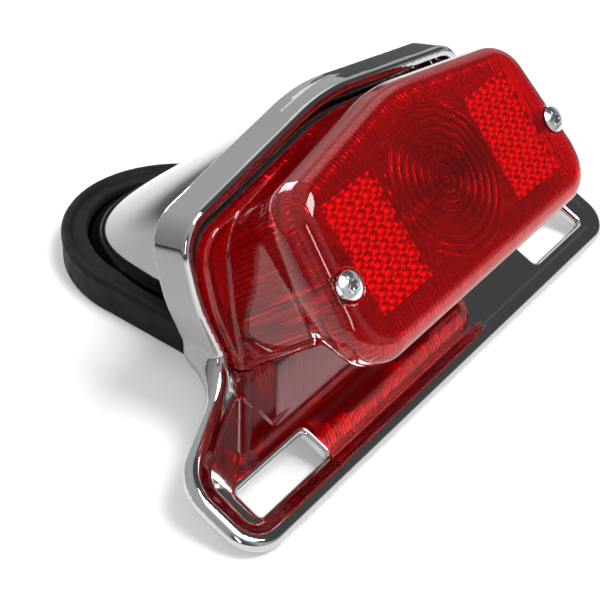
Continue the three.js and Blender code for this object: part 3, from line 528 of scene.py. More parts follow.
def mesh_object(name, points, faces, smooth=True):
    """A mesh object in metres from points in millimetres."""
    mesh = bpy.data.meshes.new(name)
    points = np.asarray(points, float) * MM
    if isinstance(faces, np.ndarray):
        mesh.vertices.add(len(points))
        mesh.vertices.foreach_set("co", points.astype(np.float32).ravel())
        mesh.loops.add(faces.size)
        mesh.loops.foreach_set("vertex_index", faces.astype(np.int32).ravel())
        mesh.polygons.add(len(faces))
        mesh.polygons.foreach_set("loop_start", np.arange(0, faces.size, faces.shape[1], dtype=np.int32))
        mesh.update(calc_edges=True)
    else:
        mesh.from_pydata(points.tolist(), [], faces)
    mesh.validate()
    mesh.polygons.foreach_set("use_smooth", [smooth] * len(mesh.polygons))
    piece = bpy.data.objects.new(name, mesh)
    bpy.context.scene.collection.objects.link(piece)
    return piece


# ------------------------------------------------------------------ materials


class Nodes:
    """A node tree with a Principled shader, and short calls for the usual nodes."""

    def __init__(self, name, color, roughness, metallic=0.0, **sockets):
        self.material = bpy.data.materials.new(name)
        self.material.use_nodes = True
        self.tree = self.material.node_tree
        self.shader = self.tree.nodes["Principled BSDF"]
        self.shader.inputs["Base Color"].default_value = (*color, 1)
        self.shader.inputs["Roughness"].default_value = roughness
        self.shader.inputs["Metallic"].default_value = metallic
        for socket, value in sockets.items():
            self.shader.inputs[socket.replace("_", " ")].default_value = value
        self.place = self.add("ShaderNodeTexCoord").outputs["Object"]

    def add(self, kind, **settings):
        node = self.tree.nodes.new(kind)
        for key, value in settings.items():
            setattr(node, key, value)
        return node

    def link(self, source, target):
        self.tree.links.new(source, target)

    def noise(self, scale, detail=3):
        node = self.add("ShaderNodeTexNoise")
        node.inputs["Scale"].default_value = scale
        node.inputs["Detail"].default_value = detail
        self.link(self.place, node.inputs["Vector"])
        return node.outputs["Fac"]

    def facing(self, direction):
        """How far the surface faces a direction: 1 straight at it, 0 side on."""
        node = self.add("ShaderNodeVectorMath", operation="DOT_PRODUCT")
        node.inputs[1].default_value = Vector(direction).normalized()
        self.link(self.add("ShaderNodeTexCoord").outputs["Normal"], node.inputs[0])
        return node.outputs["Value"]

    def grained(self, source, scale, detail, share):
        """A value with a share of noise added to it."""
        node = self.add("ShaderNodeMath", operation="MULTIPLY_ADD")
        self.link(self.noise(scale, detail), node.inputs[0])
        node.inputs[1].default_value = share
        self.link(source, node.inputs[2])
        return node.outputs["Value"]

    def spread(self, source, low, high, start=0.3, end=0.7):
        node = self.add("ShaderNodeMapRange")
        for key, value in (("From Min", start), ("From Max", end), ("To Min", low), ("To Max", high)):
            node.inputs[key].default_value = value
        self.link(source, node.inputs["Value"])
        return node.outputs["Result"]

    def roughness(self, source, low, high):
        self.link(self.spread(source, low, high), self.shader.inputs["Roughness"])

    def tint(self, source, one, two, start=0.3, end=0.7):
        ramp = self.add("ShaderNodeValToRGB")
        ramp.color_ramp.elements[0].position, ramp.color_ramp.elements[1].position = start, end
        ramp.color_ramp.elements[0].color = (*one, 1)
        ramp.color_ramp.elements[1].color = (*two, 1)
        self.link(source, ramp.inputs["Fac"])
        self.link(ramp.outputs["Color"], self.shader.inputs["Base Color"])

    def bump(self, source, strength, depth):
        node = self.add("ShaderNodeBump")
        node.inputs["Strength"].default_value = strength
        node.inputs["Distance"].default_value = depth
        self.link(source, node.inputs["Height"])
        self.link(node.outputs["Normal"], self.shader.inputs["Normal"])


# Painted shade on the chrome: a facing direction and a band of y where its colour is darkened, standing in for a
# mirrored darker floor.
CHROME_PAINTED_SHADE_SIDE, CHROME_PAINTED_SHADE_START, CHROME_PAINTED_SHADE_END = (-1, 0.3, -0.1), -0.068, -0.052


def chrome_plate():
    """Chrome with painted shade: darkened on the left walls of the rim and the nacelle, behind the bracket,
    standing in for darker surroundings that these walls mirror.
    """
    m = Nodes("chrome_plate", (0.54, 0.54, 0.54), 0.04, 1.0)
    facing = m.facing(CHROME_PAINTED_SHADE_SIDE)
    split = m.add("ShaderNodeSeparateXYZ")
    m.link(m.place, split.inputs["Vector"])
    chrome_painted_shade = m.add("ShaderNodeMath", operation="MULTIPLY")
    m.link(m.spread(facing, 0.0, 0.75, 0.35, 0.85), chrome_painted_shade.inputs[0])
    m.link(m.spread(split.outputs["Y"], 0.0, 1.0, CHROME_PAINTED_SHADE_START, CHROME_PAINTED_SHADE_END), chrome_painted_shade.inputs[1])
    painted_shade_with_grain = m.grained(chrome_painted_shade.outputs["Value"], 30, 4, 0.25)
    m.tint(painted_shade_with_grain, (0.57, 0.572, 0.576), (0.24, 0.235, 0.23), 0.0, 1.0)
    m.roughness(m.noise(160, 5), 0.025, 0.07)
    m.bump(m.noise(22, 2), 0.12, 0.0004)
    return m.material


def black_rubber():
    m = Nodes("black_rubber", (0.005, 0.005, 0.005), 0.6, Specular_IOR_Level=0.14)
    m.tint(m.noise(60, 5), (0.003, 0.003, 0.003), (0.007, 0.007, 0.0075))
    m.roughness(m.noise(220, 4), 0.5, 0.7)
    m.bump(m.noise(900, 4), 0.25, 0.0002)
    return m.material


RED_COLOUR, LENS_PAINTED_SHADE_SHARE = (0.76, 0.004, 0.009), 0.45
LENS_PAINTED_SHADE_INNER, LENS_PAINTED_SHADE_OUTER = 0.002, 0.021


def red_moulding():
    """Clear red plastic with painted shade: its colour is darkest near the lamp's axis, standing in for the dark
    socket seen through it.
    """
    m = Nodes("red_moulding", RED_COLOUR, 0.03, Transmission_Weight=0.9, IOR=1.49)
    offset = m.add("ShaderNodeVectorMath", operation="SUBTRACT")
    m.link(m.place, offset.inputs[0])
    offset.inputs[1].default_value = lamp.world([0, 0, RING_CENTRE_Z]) * MM
    axial = m.add("ShaderNodeVectorMath", operation="CROSS_PRODUCT")
    m.link(offset.outputs["Vector"], axial.inputs[0])
    axial.inputs[1].default_value = lamp.axes[1]
    reach = m.add("ShaderNodeVectorMath", operation="LENGTH")
    m.link(axial.outputs["Vector"], reach.inputs[0])
    # Painted shade: the base colour darkens towards the lamp's axis, where the dark socket shows through the lens.
    depth = m.grained(m.spread(reach.outputs["Value"], 0.0, 0.85, LENS_PAINTED_SHADE_INNER, LENS_PAINTED_SHADE_OUTER), 45, 3, 0.2)
    m.tint(depth, tuple(c * LENS_PAINTED_SHADE_SHARE for c in RED_COLOUR), RED_COLOUR, 0.0, 0.95)
    m.roughness(m.noise(260, 3), 0.015, 0.05)
    return m.material


PAINTED_GLOW_DIRECTION, PAINTED_GLOW_START, PAINTED_GLOW_END, PAINTED_GLOW_STRENGTH = (-0.3, -0.62, 0.72), 0.76, 0.99, 1.6


def reflex_red():
    """Red plastic with a painted glow: emission where a cell's wall faces a fixed direction, standing in for light
    sent back by the cells.
    """
    m = Nodes("reflex_red", (0.9, 0.02, 0.02), 0.12, 0.3, Coat_Weight=0.5, Coat_Roughness=0.05)
    m.tint(m.noise(420, 2), (0.4, 0.008, 0.01), (0.7, 0.02, 0.02), 0.4, 0.62)
    m.shader.inputs["Emission Color"].default_value = (1.0, 0.14, 0.1, 1)
    # Painted glow: emission on the cell walls that face a fixed direction.
    painted_glow = m.spread(m.facing(PAINTED_GLOW_DIRECTION), 0.0, PAINTED_GLOW_STRENGTH, PAINTED_GLOW_START, PAINTED_GLOW_END)
    m.link(painted_glow, m.shader.inputs["Emission Strength"])
    m.roughness(m.noise(500, 2), 0.08, 0.2)
    return m.material


def clear_moulding():
    # Painted light: the clear window's pink base colour stands in for red light from inside the lens that shows
    # through it.
    m = Nodes("clear_moulding", (0.95, 0.52, 0.54), 0.05, Transmission_Weight=0.35, IOR=1.49)
    m.roughness(m.noise(260, 3), 0.02, 0.08)
    return m.material


def bulb_glass():
    m = Nodes("bulb_glass", (0.98, 0.98, 0.98), 0.01, Transmission_Weight=1.0, IOR=1.47)
    m.roughness(m.noise(200, 2), 0.0, 0.02)
    return m.material


def plated(name, dark, light, rough=(0.18, 0.38)):
    m = Nodes(name, light, rough[0], 1.0)
    m.tint(m.noise(120, 5), dark, light)
    m.roughness(m.noise(900, 4), *rough)
    m.bump(m.noise(900, 3), 0.08, 0.0001)
    return m.material


def dull(name, dark, light, rough=(0.45, 0.65)):
    m = Nodes(name, light, rough[0])
    m.tint(m.noise(175, 4), dark, light)
    m.roughness(m.noise(700, 3), *rough)
    m.bump(m.noise(700, 4), 0.2, 0.0001)
    return m.material


CHROME = chrome_plate()
RUBBER = black_rubber()
RED = red_moulding()
REFLEX = reflex_red()
CLEAR = clear_moulding()
GLASS = bulb_glass()
ZINC = plated("bright_zinc", (0.62, 0.64, 0.66), (0.82, 0.84, 0.86), (0.1, 0.26))
STEEL = plated("plated_steel", (0.45, 0.46, 0.48), (0.66, 0.67, 0.69))
BRASS = plated("brass", (0.52, 0.35, 0.11), (0.76, 0.56, 0.24), (0.16, 0.34))
SOLDER = plated("solder", (0.4, 0.41, 0.42), (0.62, 0.63, 0.65), (0.3, 0.5))
TUNGSTEN = plated("tungsten", (0.16, 0.15, 0.14), (0.3, 0.29, 0.27), (0.35, 0.5))
SEAL = dull("seal_rubber", (0.012, 0.012, 0.013), (0.03, 0.03, 0.032))
BOARD = dull("fibre_board", (0.08, 0.032, 0.016), (0.2, 0.09, 0.045))
LEAD_COLOURS = {
    "tail": dull("brown_lead", (0.05, 0.022, 0.01), (0.085, 0.04, 0.02), (0.35, 0.5)),
    "stop": dull("red_lead", (0.26, 0.012, 0.012), (0.42, 0.025, 0.02), (0.35, 0.5)),
    "earth": dull("black_lead", (0.008, 0.008, 0.008), (0.018, 0.018, 0.02), (0.35, 0.5)),
}


def dress(piece, material, body, node):
    """Gives a piece its material and its body, and hides the CAD node that it stands for."""
    piece.data.materials.append(material)
    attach(piece, body)
    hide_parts(node)


# ------------------------------------------------------------------ the big pieces


def field_box(node, working):
    points = working.local(vertices(node))
    return points.min(0), points.max(0)


def field_piece(name, node, field, working, step, material, body, relax=2):
    """A piece meshed from a field, in the box of the CAD node that it stands for."""
    low, high = field_box(node, working)
    piece = field_mesh(name, field, working, low, high, step, relax)
    dress(piece, material, body, node)


def make_housing():
    field_piece("housing_casting", "housing", housing_field, ground, (0.7, 0.7, 0.7),
                CHROME, "housing_body")


def make_fender_gasket():
    field_piece("fender_gasket_moulding", "fender_gasket", gasket_field, ground, (0.8, 0.8, 0.5),
                RUBBER, "housing_body")


def make_lens():
    field_piece("lens_moulding", "lens", lens_field, lamp, (0.42, 0.8, 0.42),
                RED, "lens_body", relax=1)


SCREW_BOX_LOW, SCREW_BOX_HIGH, SCREW_STEP = (-3.6, -1.3, -3.6), (3.6, SHANK_END, 3.6), (0.22, 0.22, 0.22)


def make_lens_screws():
    for name, side in (("left", -1), ("right", 1)):
        working = Frame(lamp.axes[1], lamp.world([side * SCREW_X, 0, 0]))
        node = f"lens_screw_{name}"
        piece = field_mesh(f"{node}_detail", screw_field, working, SCREW_BOX_LOW, SCREW_BOX_HIGH, SCREW_STEP)
        dress(piece, ZINC, "lens_body", node)


REFLEX_COLUMNS, REFLEX_ROWS, CELL_SAMPLES = 6, 10, 8
REFLEX_FRONT, REFLEX_BACK, CELL_DEPTH, CELL_WALL = 2.8, 4.8, 1.5, 0.2


def make_reflex(name, side):
    """A panel of round hollows, in rows that are set off by half a cell."""
    across = np.linspace(0, 1, REFLEX_COLUMNS * CELL_SAMPLES + 1)
    up = np.linspace(0, 1, REFLEX_ROWS * CELL_SAMPLES + 1)
    grid_x, grid_z = np.meshgrid(across, up, indexing="ij")
    column = grid_x * REFLEX_COLUMNS + 0.5 * (np.floor(grid_z * REFLEX_ROWS - 1e-9) % 2)
    reach = np.minimum(np.hypot(column % 1 - 0.5, (grid_z * REFLEX_ROWS) % 1 - 0.5) * 2, 1)
    border = np.minimum.reduce([grid_x, 1 - grid_x, grid_z, 1 - grid_z]) < 1e-6
    depth = REFLEX_FRONT + np.where(border, CELL_WALL, CELL_WALL + CELL_DEPTH * (1 - reach**2))
    x = side * (REFLEX_INNER + grid_x * (REFLEX_OUTER - REFLEX_INNER))
    z = REFLEX_LOW + grid_z * (REFLEX_HIGH - REFLEX_LOW)
    front = np.stack([x, depth, z], -1).reshape(-1, 3)
    back = np.stack([x, np.full_like(x, REFLEX_BACK), z], -1).reshape(-1, 3)
    columns, rows = grid_x.shape
    index = np.arange(columns * rows).reshape(columns, rows)
    size = columns * rows
    quads = np.stack([index[:-1, :-1], index[1:, :-1], index[1:, 1:], index[:-1, 1:]], -1).reshape(-1, 4)
    rim = np.concatenate([index[:, 0], index[-1, 1:], index[-2::-1, -1], index[0, -2:0:-1]])
    after = np.roll(rim, -1)
    walls = np.stack([after, rim, rim + size, after + size], -1)
    faces = np.concatenate([quads, quads[:, ::-1] + size, walls])
    if side < 0:
        faces = faces[:, ::-1]
    points = lamp.world(np.concatenate([front, back]))
    piece = mesh_object(f"reflex_cells_{name}", points, faces, smooth=False)
    dress(piece, REFLEX, "lens_body", f"reflex_{name}")


def make_window():
    """The number-plate window: a flat inside, with flutes along the depth on its lower side."""
    low, high = field_box("plate_window", lamp)
    middle, half = (low + high) / 2, (high - low) / 2

    def window_field(points):
        x, y, z = (points - middle).T
        bottom = -half[2] - z + WINDOW_FLUTE_DEPTH * scallops(x, FLUTE_PITCH)
        sides = np.maximum(np.abs(x) - half[0], np.abs(y) - half[1])
        return prism(sides, bottom, z - half[2], WINDOW_ROUNDING)

    field_piece("plate_window_moulding", "plate_window", window_field, lamp, (0.35, 0.9, 0.35),
                CLEAR, "lens_body", relax=1)


make_housing()
make_fender_gasket()
make_lens()
make_lens_screws()
make_reflex("left", -1)
make_reflex("right", 1)
make_window()

# ------------------------------------------------------------------ the small pieces


def rounded(profile, radius):
    """A profile of (radius, y) with its inner corners cut back by short arcs."""
    points = [np.array(p, float) for p in profile]
    out = [points[0]]
    for before, corner, after in zip(points, points[1:], points[2:]):
        reach = min(radius, np.linalg.norm(before - corner) / 2.2, np.linalg.norm(after - corner) / 2.2)
        start = corner + (before - corner) / np.linalg.norm(before - corner) * reach
        end = corner + (after - corner) / np.linalg.norm(after - corner) * reach
        for t in (0, 0.33, 0.67, 1):
            out.append((1 - t) ** 2 * start + 2 * t * (1 - t) * corner + t * t * end)
    return out + [points[-1]]


def turned(name, working, profile, radius=0.15, sides=40):
    """A piece turned about the working frame's y axis, closed at both ends of its profile on the axis."""
    rings = rounded(profile, radius)
    angle = np.linspace(0, 2 * math.pi, sides, endpoint=False)
    points, first = [], []
    for reach, y in rings:
        first.append(len(points))
        if reach < 1e-6:
            points.append((0, y, 0))
        else:
            points.extend((reach * math.cos(a), y, reach * math.sin(a)) for a in angle)
    faces = []
    for i in range(len(rings) - 1):
        a, b = first[i], first[i + 1]
        one_a, one_b = rings[i][0] < 1e-6, rings[i + 1][0] < 1e-6
        for k in range(sides):
            after = (k + 1) % sides
            if one_a and one_b:
                continue
            if one_a:
                faces.append((a, b + k, b + after))
            elif one_b:
                faces.append((a + k, b, a + after))
            else:
                faces.append((a + k, b + k, b + after, a + after))
    return finished(mesh_object(name, working.world(points), faces))


SHARP_DEGREES = 35


def finished(piece):
    """Faces turned outwards, with sharp edges kept sharp."""
    work = bmesh.new()
    work.from_mesh(piece.data)
    bmesh.ops.recalc_face_normals(work, faces=work.faces)
    work.to_mesh(piece.data)
    work.free()
    piece.data.set_sharp_from_angle(angle=math.radians(SHARP_DEGREES))
    return piece


def smooth_path(points, count):
    """A Catmull-Rom curve through the points."""
    points = [np.array(p, float) for p in points]
    points = [2 * points[0] - points[1]] + points + [2 * points[-1] - points[-2]]
    path = []
    for t in np.linspace(0, len(points) - 3, count):
        i = min(int(t), len(points) - 4)
        u = t - i
        a, b, c, d = points[i:i + 4]
        bend = (2 * a - 5 * b + 4 * c - d) * u**2
        path.append(0.5 * (2 * b + (c - a) * u + bend + (3 * b - a - 3 * c + d) * u**3))
    return np.array(path)


def wire(name, working, path, radius, sides=12):
    """A round wire along a path, with flat ends."""
    ahead = np.gradient(path, axis=0)
    ahead /= np.linalg.norm(ahead, axis=1, keepdims=True)
    side = np.cross(ahead[0], (0.3, 0.2, 0.9))
    points = []
    for place, along in zip(path, ahead):
        side = side - (side @ along) * along
        side /= np.linalg.norm(side)
        up = np.cross(along, side)
        points.extend(place + radius * (math.cos(a) * side + math.sin(a) * up)
                      for a in np.linspace(0, 2 * math.pi, sides, endpoint=False))
    faces = [tuple(range(sides))[::-1], tuple(range(len(points) - sides, len(points)))]
    for i in range(len(path) - 1):
        a, b = i * sides, (i + 1) * sides
        faces.extend((a + k, a + (k + 1) % sides, b + (k + 1) % sides, b + k) for k in range(sides))
    return finished(mesh_object(name, working.world(points), faces))


def shifted(working, x, y, z):
    return Frame(working.axes[1], working.world([x, y, z]))


def seal_field(points):
    """The rubber seal in the seat frame: a band along the flange, with an eye at each lens screw."""
    x, y, z = points.T
    edge = FLANGE.distance(x, z) + FLANGE_GAP
    outer = np.maximum(edge, SEAL_LOW - z)
    band = np.maximum(outer, -np.maximum(edge + SEAL_WIDTH, SEAL_INNER_LOW - z))
    lens_points = lamp.local(seat.world(points))
    for side in (1, -1):
        reach = np.hypot(lens_points[:, 0] - side * SCREW_X, lens_points[:, 2])
        band = np.minimum(band, np.maximum(reach - SEAL_EYE, outer))
        band = np.maximum(band, SCREW_HOLE - reach)
    bead = SEAL_BEAD * scallops(edge + FLANGE_GAP, 1.0)
    return prism(band, SEAL_FRONT + bead - y, y - SEAL_BACK, SHEET_ROUNDING)


def base_plate_field(points):
    """The pressed plate in the seat frame, with its holes for the socket, rivets and screws."""
    x, y, z = points.T
    plate = np.maximum(FLANGE.distance(x, z) + FLANGE_GAP, BASE_LOW - z)
    plate = np.maximum(plate, SOCKET_RADIUS + SOCKET_GAP - np.hypot(x, z - BULB_LEVEL))
    lens_points = lamp.local(seat.world(points))
    for side in (1, -1):
        reach = np.hypot(lens_points[:, 0] - side * SCREW_X, lens_points[:, 2])
        plate = np.maximum(plate, BASE_SCREW_HOLE - reach)
        plate = np.maximum(plate, PLATE_SCREW_HOLE - np.hypot(x - side * PLATE_SCREW_X, z - PLATE_SCREW_Z))
        plate = np.maximum(plate, RIVET_HOLE - np.hypot(x - side * RIVET_X, z - BULB_LEVEL))
    return prism(plate, BASE_FRONT - y, y - BASE_BACK, SHEET_ROUNDING)


def socket_field(points):
    """The socket in the bulb frame: a drawn tube with a flange, two bayonet windows and a turned-in lip."""
    x, y, z = points.T
    reach = np.hypot(x, z)
    tube = prism(reach - SOCKET_RADIUS, SOCKET_FRONT - y, y - SOCKET_BACK, SOCKET_ROUNDING)
    half_x, half_z = SOCKET_FLANGE_X, SOCKET_FLANGE_Z
    plan = rectangle(-half_x, -half_z, half_x, half_z, SOCKET_FLANGE_CORNER)
    flange = prism(plan.distance(x, z), SOCKET_FRONT - y, y - SOCKET_FLANGE_BACK, SHEET_ROUNDING)
    shell = weld(tube, flange, SOCKET_FILLET)
    shell = np.maximum(shell, -np.maximum(reach - SOCKET_BORE, y - SOCKET_LIP_START))
    shell = np.maximum(shell, SOCKET_LIP - reach)
    arc = math.radians(1) * reach
    for side, depth in BAYONET_PINS:
        angle = np.degrees(-np.arctan2(z * side, x * side))
        back = y - depth - BAYONET_BEHIND
        sweep = (np.abs(angle - WINDOW_MIDDLE) - WINDOW_SWEEP) * arc
        turn = np.maximum.reduce([sweep, depth - BAYONET_AHEAD - y, back, SOCKET_LIP - reach])
        sweep = (np.abs(angle - MOUTH_MIDDLE) - MOUTH_SWEEP) * arc
        mouth = np.maximum.reduce([sweep, back, SOCKET_LIP - reach])
        shell = np.maximum(shell, -np.minimum(turn, mouth))
        shell = np.maximum(shell, RIVET_HOLE - np.hypot(x - side * RIVET_X, z))
    return shell


def cap_field(points):
    """The bulb's cap in the bulb frame, with a knurled band and two offset bayonet pins."""
    x, y, z = points.T
    reach = np.hypot(x, z)
    knurled = np.abs(y - KNURL_LEVEL) < KNURL_HALF
    knurl = KNURL_DEPTH * scallops(np.degrees(np.arctan2(z, x)), KNURL_DEGREES) * knurled
    body = prism(reach - CAP_RADIUS + knurl, CAP_FRONT - y, y - CAP_BACK, CAP_ROUNDING)
    for side, depth in BAYONET_PINS:
        off_axis = np.hypot(y - depth, z) - PIN_RADIUS
        pin = prism(off_axis, PIN_ROOT - side * x, side * x - PIN_TIP, PIN_ROUNDING)
        body = weld(body, pin, PIN_ROUNDING)
    return body


# Profiles of turned pieces, as corners (radius, distance along the axis).
PLATE_SCREW_PROFILE = [
    (0, 3.55), (1.2, 3.5), (2.6, 3.75), (3, 4.3), (3, 4.8), (1.5, 4.8), (1.5, 10.2), (1.2, 10.5), (0, 10.5)]
RIVET_PROFILE = [
    (0, 2.6), (1.1, 2.75), (1.85, 3.3), (1.9, 3.5), (1, 3.5), (1, 6.4), (1.7, 6.4), (1.7, 7), (0, 7.1)]
STEM_PROFILE = [
    (0, -8), (0.9, -8), (1.3, -7), (2.2, -5), (2.4, -4), (2.4, 2),
    (5.2, 3.2), (5.4, 3.7), (5.4, 4.4), (0, 4.4)]
BULB_CONTACT_PROFILE = [(0, 20.3), (1.8, 20.3), (1.75, 20.7), (1.2, 21.1), (0, 21.3)]
CONTACT_PIN_PROFILE = [(0, 21.65), (1.4, 21.75), (1.9, 22.1), (1.9, 22.5), (1, 22.5), (1, 25.3), (0, 25.4)]
BULLET_PROFILE = [
    (0, 0), (1.4, 0), (2.1, 1), (2.1, 7), (1.6, 7.4), (1.6, 7.8), (2.1, 8.4), (1.5, 10.6), (0, 11)]


def make_base():
    field_piece("lens_seal", "lens_gasket", seal_field, seat, (0.6, 0.3, 0.6),
                SEAL, "housing_body")
    field_piece("base_plate_pressing", "base_plate", base_plate_field, seat, (0.6, 0.34, 0.6),
                ZINC, "housing_body")
    field_piece("socket_shell", "bulb_socket", socket_field, bulb, (0.36, 0.36, 0.36),
                ZINC, "housing_body")
    for name, side in (("left", -1), ("right", 1)):
        screw_place = shifted(seat, side * PLATE_SCREW_X, 0, PLATE_SCREW_Z)
        dress(turned(f"plate_screw_{name}_detail", screw_place, PLATE_SCREW_PROFILE),
              ZINC, "housing_body", f"plate_screw_{name}")
        dress(turned(f"socket_rivet_{name}_detail", shifted(bulb, side * RIVET_X, 0, 0), RIVET_PROFILE),
              STEEL, "housing_body", f"socket_rivet_{name}")


def make_bulb():
    arc = np.linspace(0, math.pi * GLASS_SWEEP, 22)

    def envelope(reach, neck):
        curve = [(max(reach * math.sin(a), 0.0), GLASS_CENTRE - reach * math.cos(a)) for a in arc]
        return curve + [(neck, GLASS_CENTRE + GLASS_NECK_RUN), (neck, GLASS_BACK)]

    outside, inside = envelope(GLASS_RADIUS, GLASS_NECK), envelope(GLASS_INNER_RADIUS, GLASS_INNER_NECK)
    glass = turned("bulb_envelope", bulb, outside + inside[::-1], radius=0.1, sides=48)
    dress(glass, GLASS, "bulb_body", "bulb_glass")
    field_piece("bulb_cap_shell", "bulb_cap", cap_field, bulb, (0.34, 0.34, 0.34),
                BRASS, "bulb_body")
    stem = turned("bulb_stem_press", bulb, STEM_PROFILE, radius=0.4)
    dress(stem, GLASS, "bulb_body", "bulb_stem")
    for name, side, front, half, level in FILAMENTS:
        path = filament_path(front, half)
        filament = wire(f"filament_{name}_coil", shifted(bulb, 0, 0, level), path, FILAMENT_WIRE, sides=7)
        dress(filament, TUNGSTEN, "bulb_body", f"filament_{name}")
        contact_place = shifted(bulb, side * CONTACT_X, 0, 0)
        dress(turned(f"bulb_contact_{name}_dome", contact_place, BULB_CONTACT_PROFILE),
              SOLDER, "bulb_body", f"bulb_contact_{name}")
        dress(turned(f"contact_pin_{name}_detail", contact_place, CONTACT_PIN_PROFILE),
              BRASS, "contact_body", f"contact_pin_{name}")


def filament_path(front, half):
    """Two supports splayed out from the stem, with a fine coil between their tips."""
    tip = front + FILAMENT_COIL
    elbow = (-half * 0.9, front * 0.5 - 4, 0)
    left = [(-half * 0.6, SUPPORT_FOOT, 0), elbow, (-half, front + 0.6, 0), (-half, tip, 0)]
    coil = []
    for t in np.linspace(0, 1, FILAMENT_TURNS * 10):
        angle = 2 * math.pi * FILAMENT_TURNS * t
        across = -half + FILAMENT_COIL + (2 * half - 2 * FILAMENT_COIL) * t
        coil.append((across, front + FILAMENT_COIL * math.cos(angle), FILAMENT_COIL * math.sin(angle)))
    supports = smooth_path(left, 24)
    return np.concatenate([supports, coil, [(-x, y, z) for x, y, z in supports[::-1]]])


def disc_field(points):
    """The contact board in the bulb frame: a disc with a hole for each contact pin."""
    x, y, z = points.T
    disc = np.hypot(x, z) - BOARD_RADIUS
    for side in (1, -1):
        disc = np.maximum(disc, CONTACT_HOLE - np.hypot(x - side * CONTACT_X, z))
    return prism(disc, BOARD_FRONT - y, y - BOARD_BACK, BOARD_ROUNDING)


def make_contacts():
    """The contact board, and its spring."""
    field_piece("contact_board", "contact_disc", disc_field, bulb, (0.35, 0.35, 0.35),
                BOARD, "contact_body")
    turn = np.linspace(0, 1, SPRING_POINTS)
    angle = 2 * math.pi * SPRING_TURNS * turn
    along = SPRING_FRONT + SPRING_LENGTH * turn
    spring = np.stack([SPRING_RADIUS * np.cos(angle), along, SPRING_RADIUS * np.sin(angle)], -1)
    coil = wire("contact_spring_coil", bulb, spring, SPRING_WIRE)
    dress(coil, STEEL, "housing_body", "contact_spring")
    rear = bulb.world([0, SPRING_FRONT + SPRING_LENGTH + SPRING_WIRE, 0]) * MM
    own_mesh(coil)


def make_leads():
    y, z = BULLET_Y, BULLET_Z
    for name, x, start in LEADS:
        ends = [bulb.world([start[0], LEAD_START, start[1]]), bulb.world([start[0], LEAD_STRAIGHT, start[1]])]
        across = [(x + start[0]) / 2] + [x] * (len(LEAD_BENDS) - 1)
        bends = [(place, y - ahead, z + up) for place, (ahead, up) in zip(across, LEAD_BENDS)]
        path = smooth_path(ends + bends, LEAD_POINTS)
        dress(wire(f"lead_{name}_cable", ground, path, LEAD_RADIUS), LEAD_COLOURS[name],
              "housing_body", f"lead_{name}")
        dress(turned(f"bullet_{name}_detail", shifted(ground, x, y, z), BULLET_PROFILE, radius=0.3),
              BRASS, "housing_body", f"bullet_{name}")


make_base()
make_bulb()
make_contacts()
make_leads()

# ------------------------------------------------------------------ camera, floor and light

CAMERA_PLACE = (-0.2667, -0.2338, 0.2514)
CAMERA_RIGHT = (0.5983, -0.8013, 0.0061)
CAMERA_DOWN = (-0.4785, -0.3633, -0.7994)
CAMERA_LENS, SENSOR, NEAREST, FARTHEST = 89.46, 36, 0.01, 20


def make_camera():
    data = bpy.data.cameras.new("camera")
    data.lens, data.sensor_width = CAMERA_LENS, SENSOR
    data.clip_start, data.clip_end = NEAREST, FARTHEST
    camera = bpy.data.objects.new("camera", data)
    right = Vector(CAMERA_RIGHT).normalized()
    up = -Vector(CAMERA_DOWN).normalized()
    back = right.cross(up).normalized()
    up = back.cross(right)
    turn = Matrix((right, up, back)).transposed()
    camera.matrix_world = Matrix.Translation(CAMERA_PLACE) @ turn.to_4x4()
    bpy.context.scene.collection.objects.link(camera)
    bpy.context.scene.camera = camera


FLOOR_HALF, FLOOR_LEVEL = 6000, -0.05
FLOOR_PALE, FLOOR_FAR, FLOOR_GLOW = (0.84, 0.84, 0.84), (0.12, 0.12, 0.12), 0.13
PALE_RADIUS, FAR_RADIUS, GLOW_RADIUS = 0.26, 0.75, 0.6


def make_floor():
    """Pale paper with a painted pool of light: its colour falls off to grey far from the light, where only the
    chrome mirrors it, and it glows faintly near the object.
    """
    corners = [(x * FLOOR_HALF, y * FLOOR_HALF, FLOOR_LEVEL) for x, y in ((-1, -1), (1, -1), (1, 1), (-1, 1))]
    floor = mesh_object("floor", corners, [(0, 1, 2, 3)], smooth=False)
    m = Nodes("floor_paper", (0.8, 0.8, 0.8), 0.9, Emission_Color=(1, 1, 1, 1))
    reach = m.add("ShaderNodeVectorMath", operation="LENGTH")
    m.link(m.place, reach.inputs[0])
    # Painted pool of light: the paper's colour falls from pale to grey with distance, and a painted glow fades out
    # by GLOW_RADIUS.
    painted_light_pool = m.spread(reach.outputs["Value"], 1.0, 0.0, PALE_RADIUS, FAR_RADIUS)
    m.tint(painted_light_pool, FLOOR_FAR, FLOOR_PALE, 0.0, 1.0)
    glow = m.spread(reach.outputs["Value"], FLOOR_GLOW, 0.0, PALE_RADIUS, GLOW_RADIUS)
    m.link(glow, m.shader.inputs["Emission Strength"])
    floor.data.materials.append(m.material)


def soft_box(name, place, aim, width, height, power):
    data = bpy.data.lights.new(name, "AREA")
    data.shape, data.size, data.size_y, data.energy = "RECTANGLE", width, height, power
    light = bpy.data.objects.new(name, data)
    light.location = place
    light.rotation_mode = "QUATERNION"
    light.rotation_quaternion = (Vector(place) - Vector(aim)).to_track_quat("Z", "Y")
    bpy.context.scene.collection.objects.link(light)


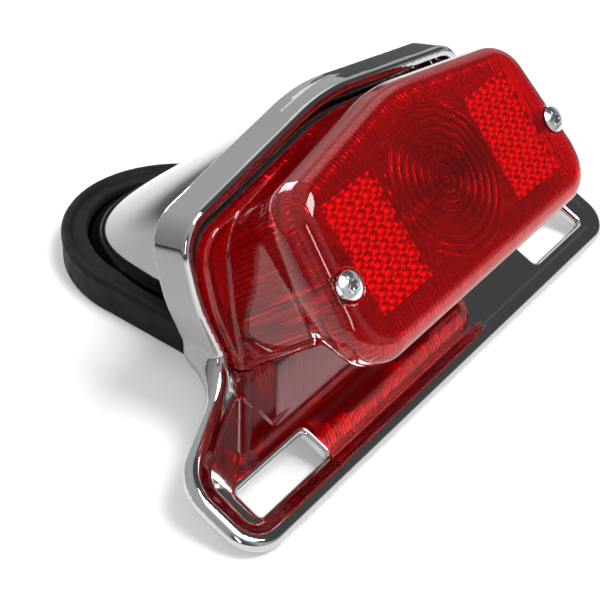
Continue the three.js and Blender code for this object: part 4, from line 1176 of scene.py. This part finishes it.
def sky_patch(tree, direction, inner, outer, level):
    """A factor that goes from 1 to level near a direction of the sky, between two angles in degrees."""
    place = tree.nodes.new("ShaderNodeTexCoord")
    dot = tree.nodes.new("ShaderNodeVectorMath")
    dot.operation = "DOT_PRODUCT"
    dot.inputs[1].default_value = Vector(direction).normalized()
    ease = tree.nodes.new("ShaderNodeMapRange")
    ease.interpolation_type = "SMOOTHSTEP"
    start, end = math.cos(math.radians(outer)), math.cos(math.radians(inner))
    for key, value in (("From Min", start), ("From Max", end), ("To Min", 1.0), ("To Max", level)):
        ease.inputs[key].default_value = value
    tree.links.new(place.outputs["Generated"], dot.inputs[0])
    tree.links.new(dot.outputs["Value"], ease.inputs["Value"])
    return ease.outputs["Result"]


SKY_LEVEL = 0.6
# Two dark openings of the light tent and one bright panel: direction, inner and outer angle, level.
SKY_PATCHES = (
    ((0.596, -0.431, 0.678), 31, 42, 0.16),
    ((-0.70, -0.62, 0.25), 16, 40, 0.2),
    ((0.616, 0.45, 0.64), 8, 18, 2.2),
)


def make_sky():
    world = bpy.data.worlds.new("light_tent")
    world.use_nodes = True
    bpy.context.scene.world = world
    tree = world.node_tree
    level = tree.nodes.new("ShaderNodeValue")
    level.outputs["Value"].default_value = SKY_LEVEL
    product = level.outputs["Value"]
    for patch in SKY_PATCHES:
        multiply = tree.nodes.new("ShaderNodeMath")
        multiply.operation = "MULTIPLY"
        tree.links.new(product, multiply.inputs[0])
        tree.links.new(sky_patch(tree, *patch), multiply.inputs[1])
        product = multiply.outputs["Value"]
    background = tree.nodes["Background"]
    background.inputs["Color"].default_value = (1, 1, 1, 1)
    tree.links.new(product, background.inputs["Strength"])


make_camera()
make_floor()
make_sky()
soft_box("key", (0.15, -0.75, 1.35), (0, 0, 0.03), 0.7, 0.7, 24)
soft_box("side_strip", (-0.78, -0.58, 0.40), (0, -0.08, 0.07), 0.1, 0.45, 1.5)
soft_box("back_strip", (0.36, 1.08, 0.42), (0, -0.06, 0.06), 0.4, 0.3, 3.5)
bpy.context.scene.view_settings.view_transform = "Standard"
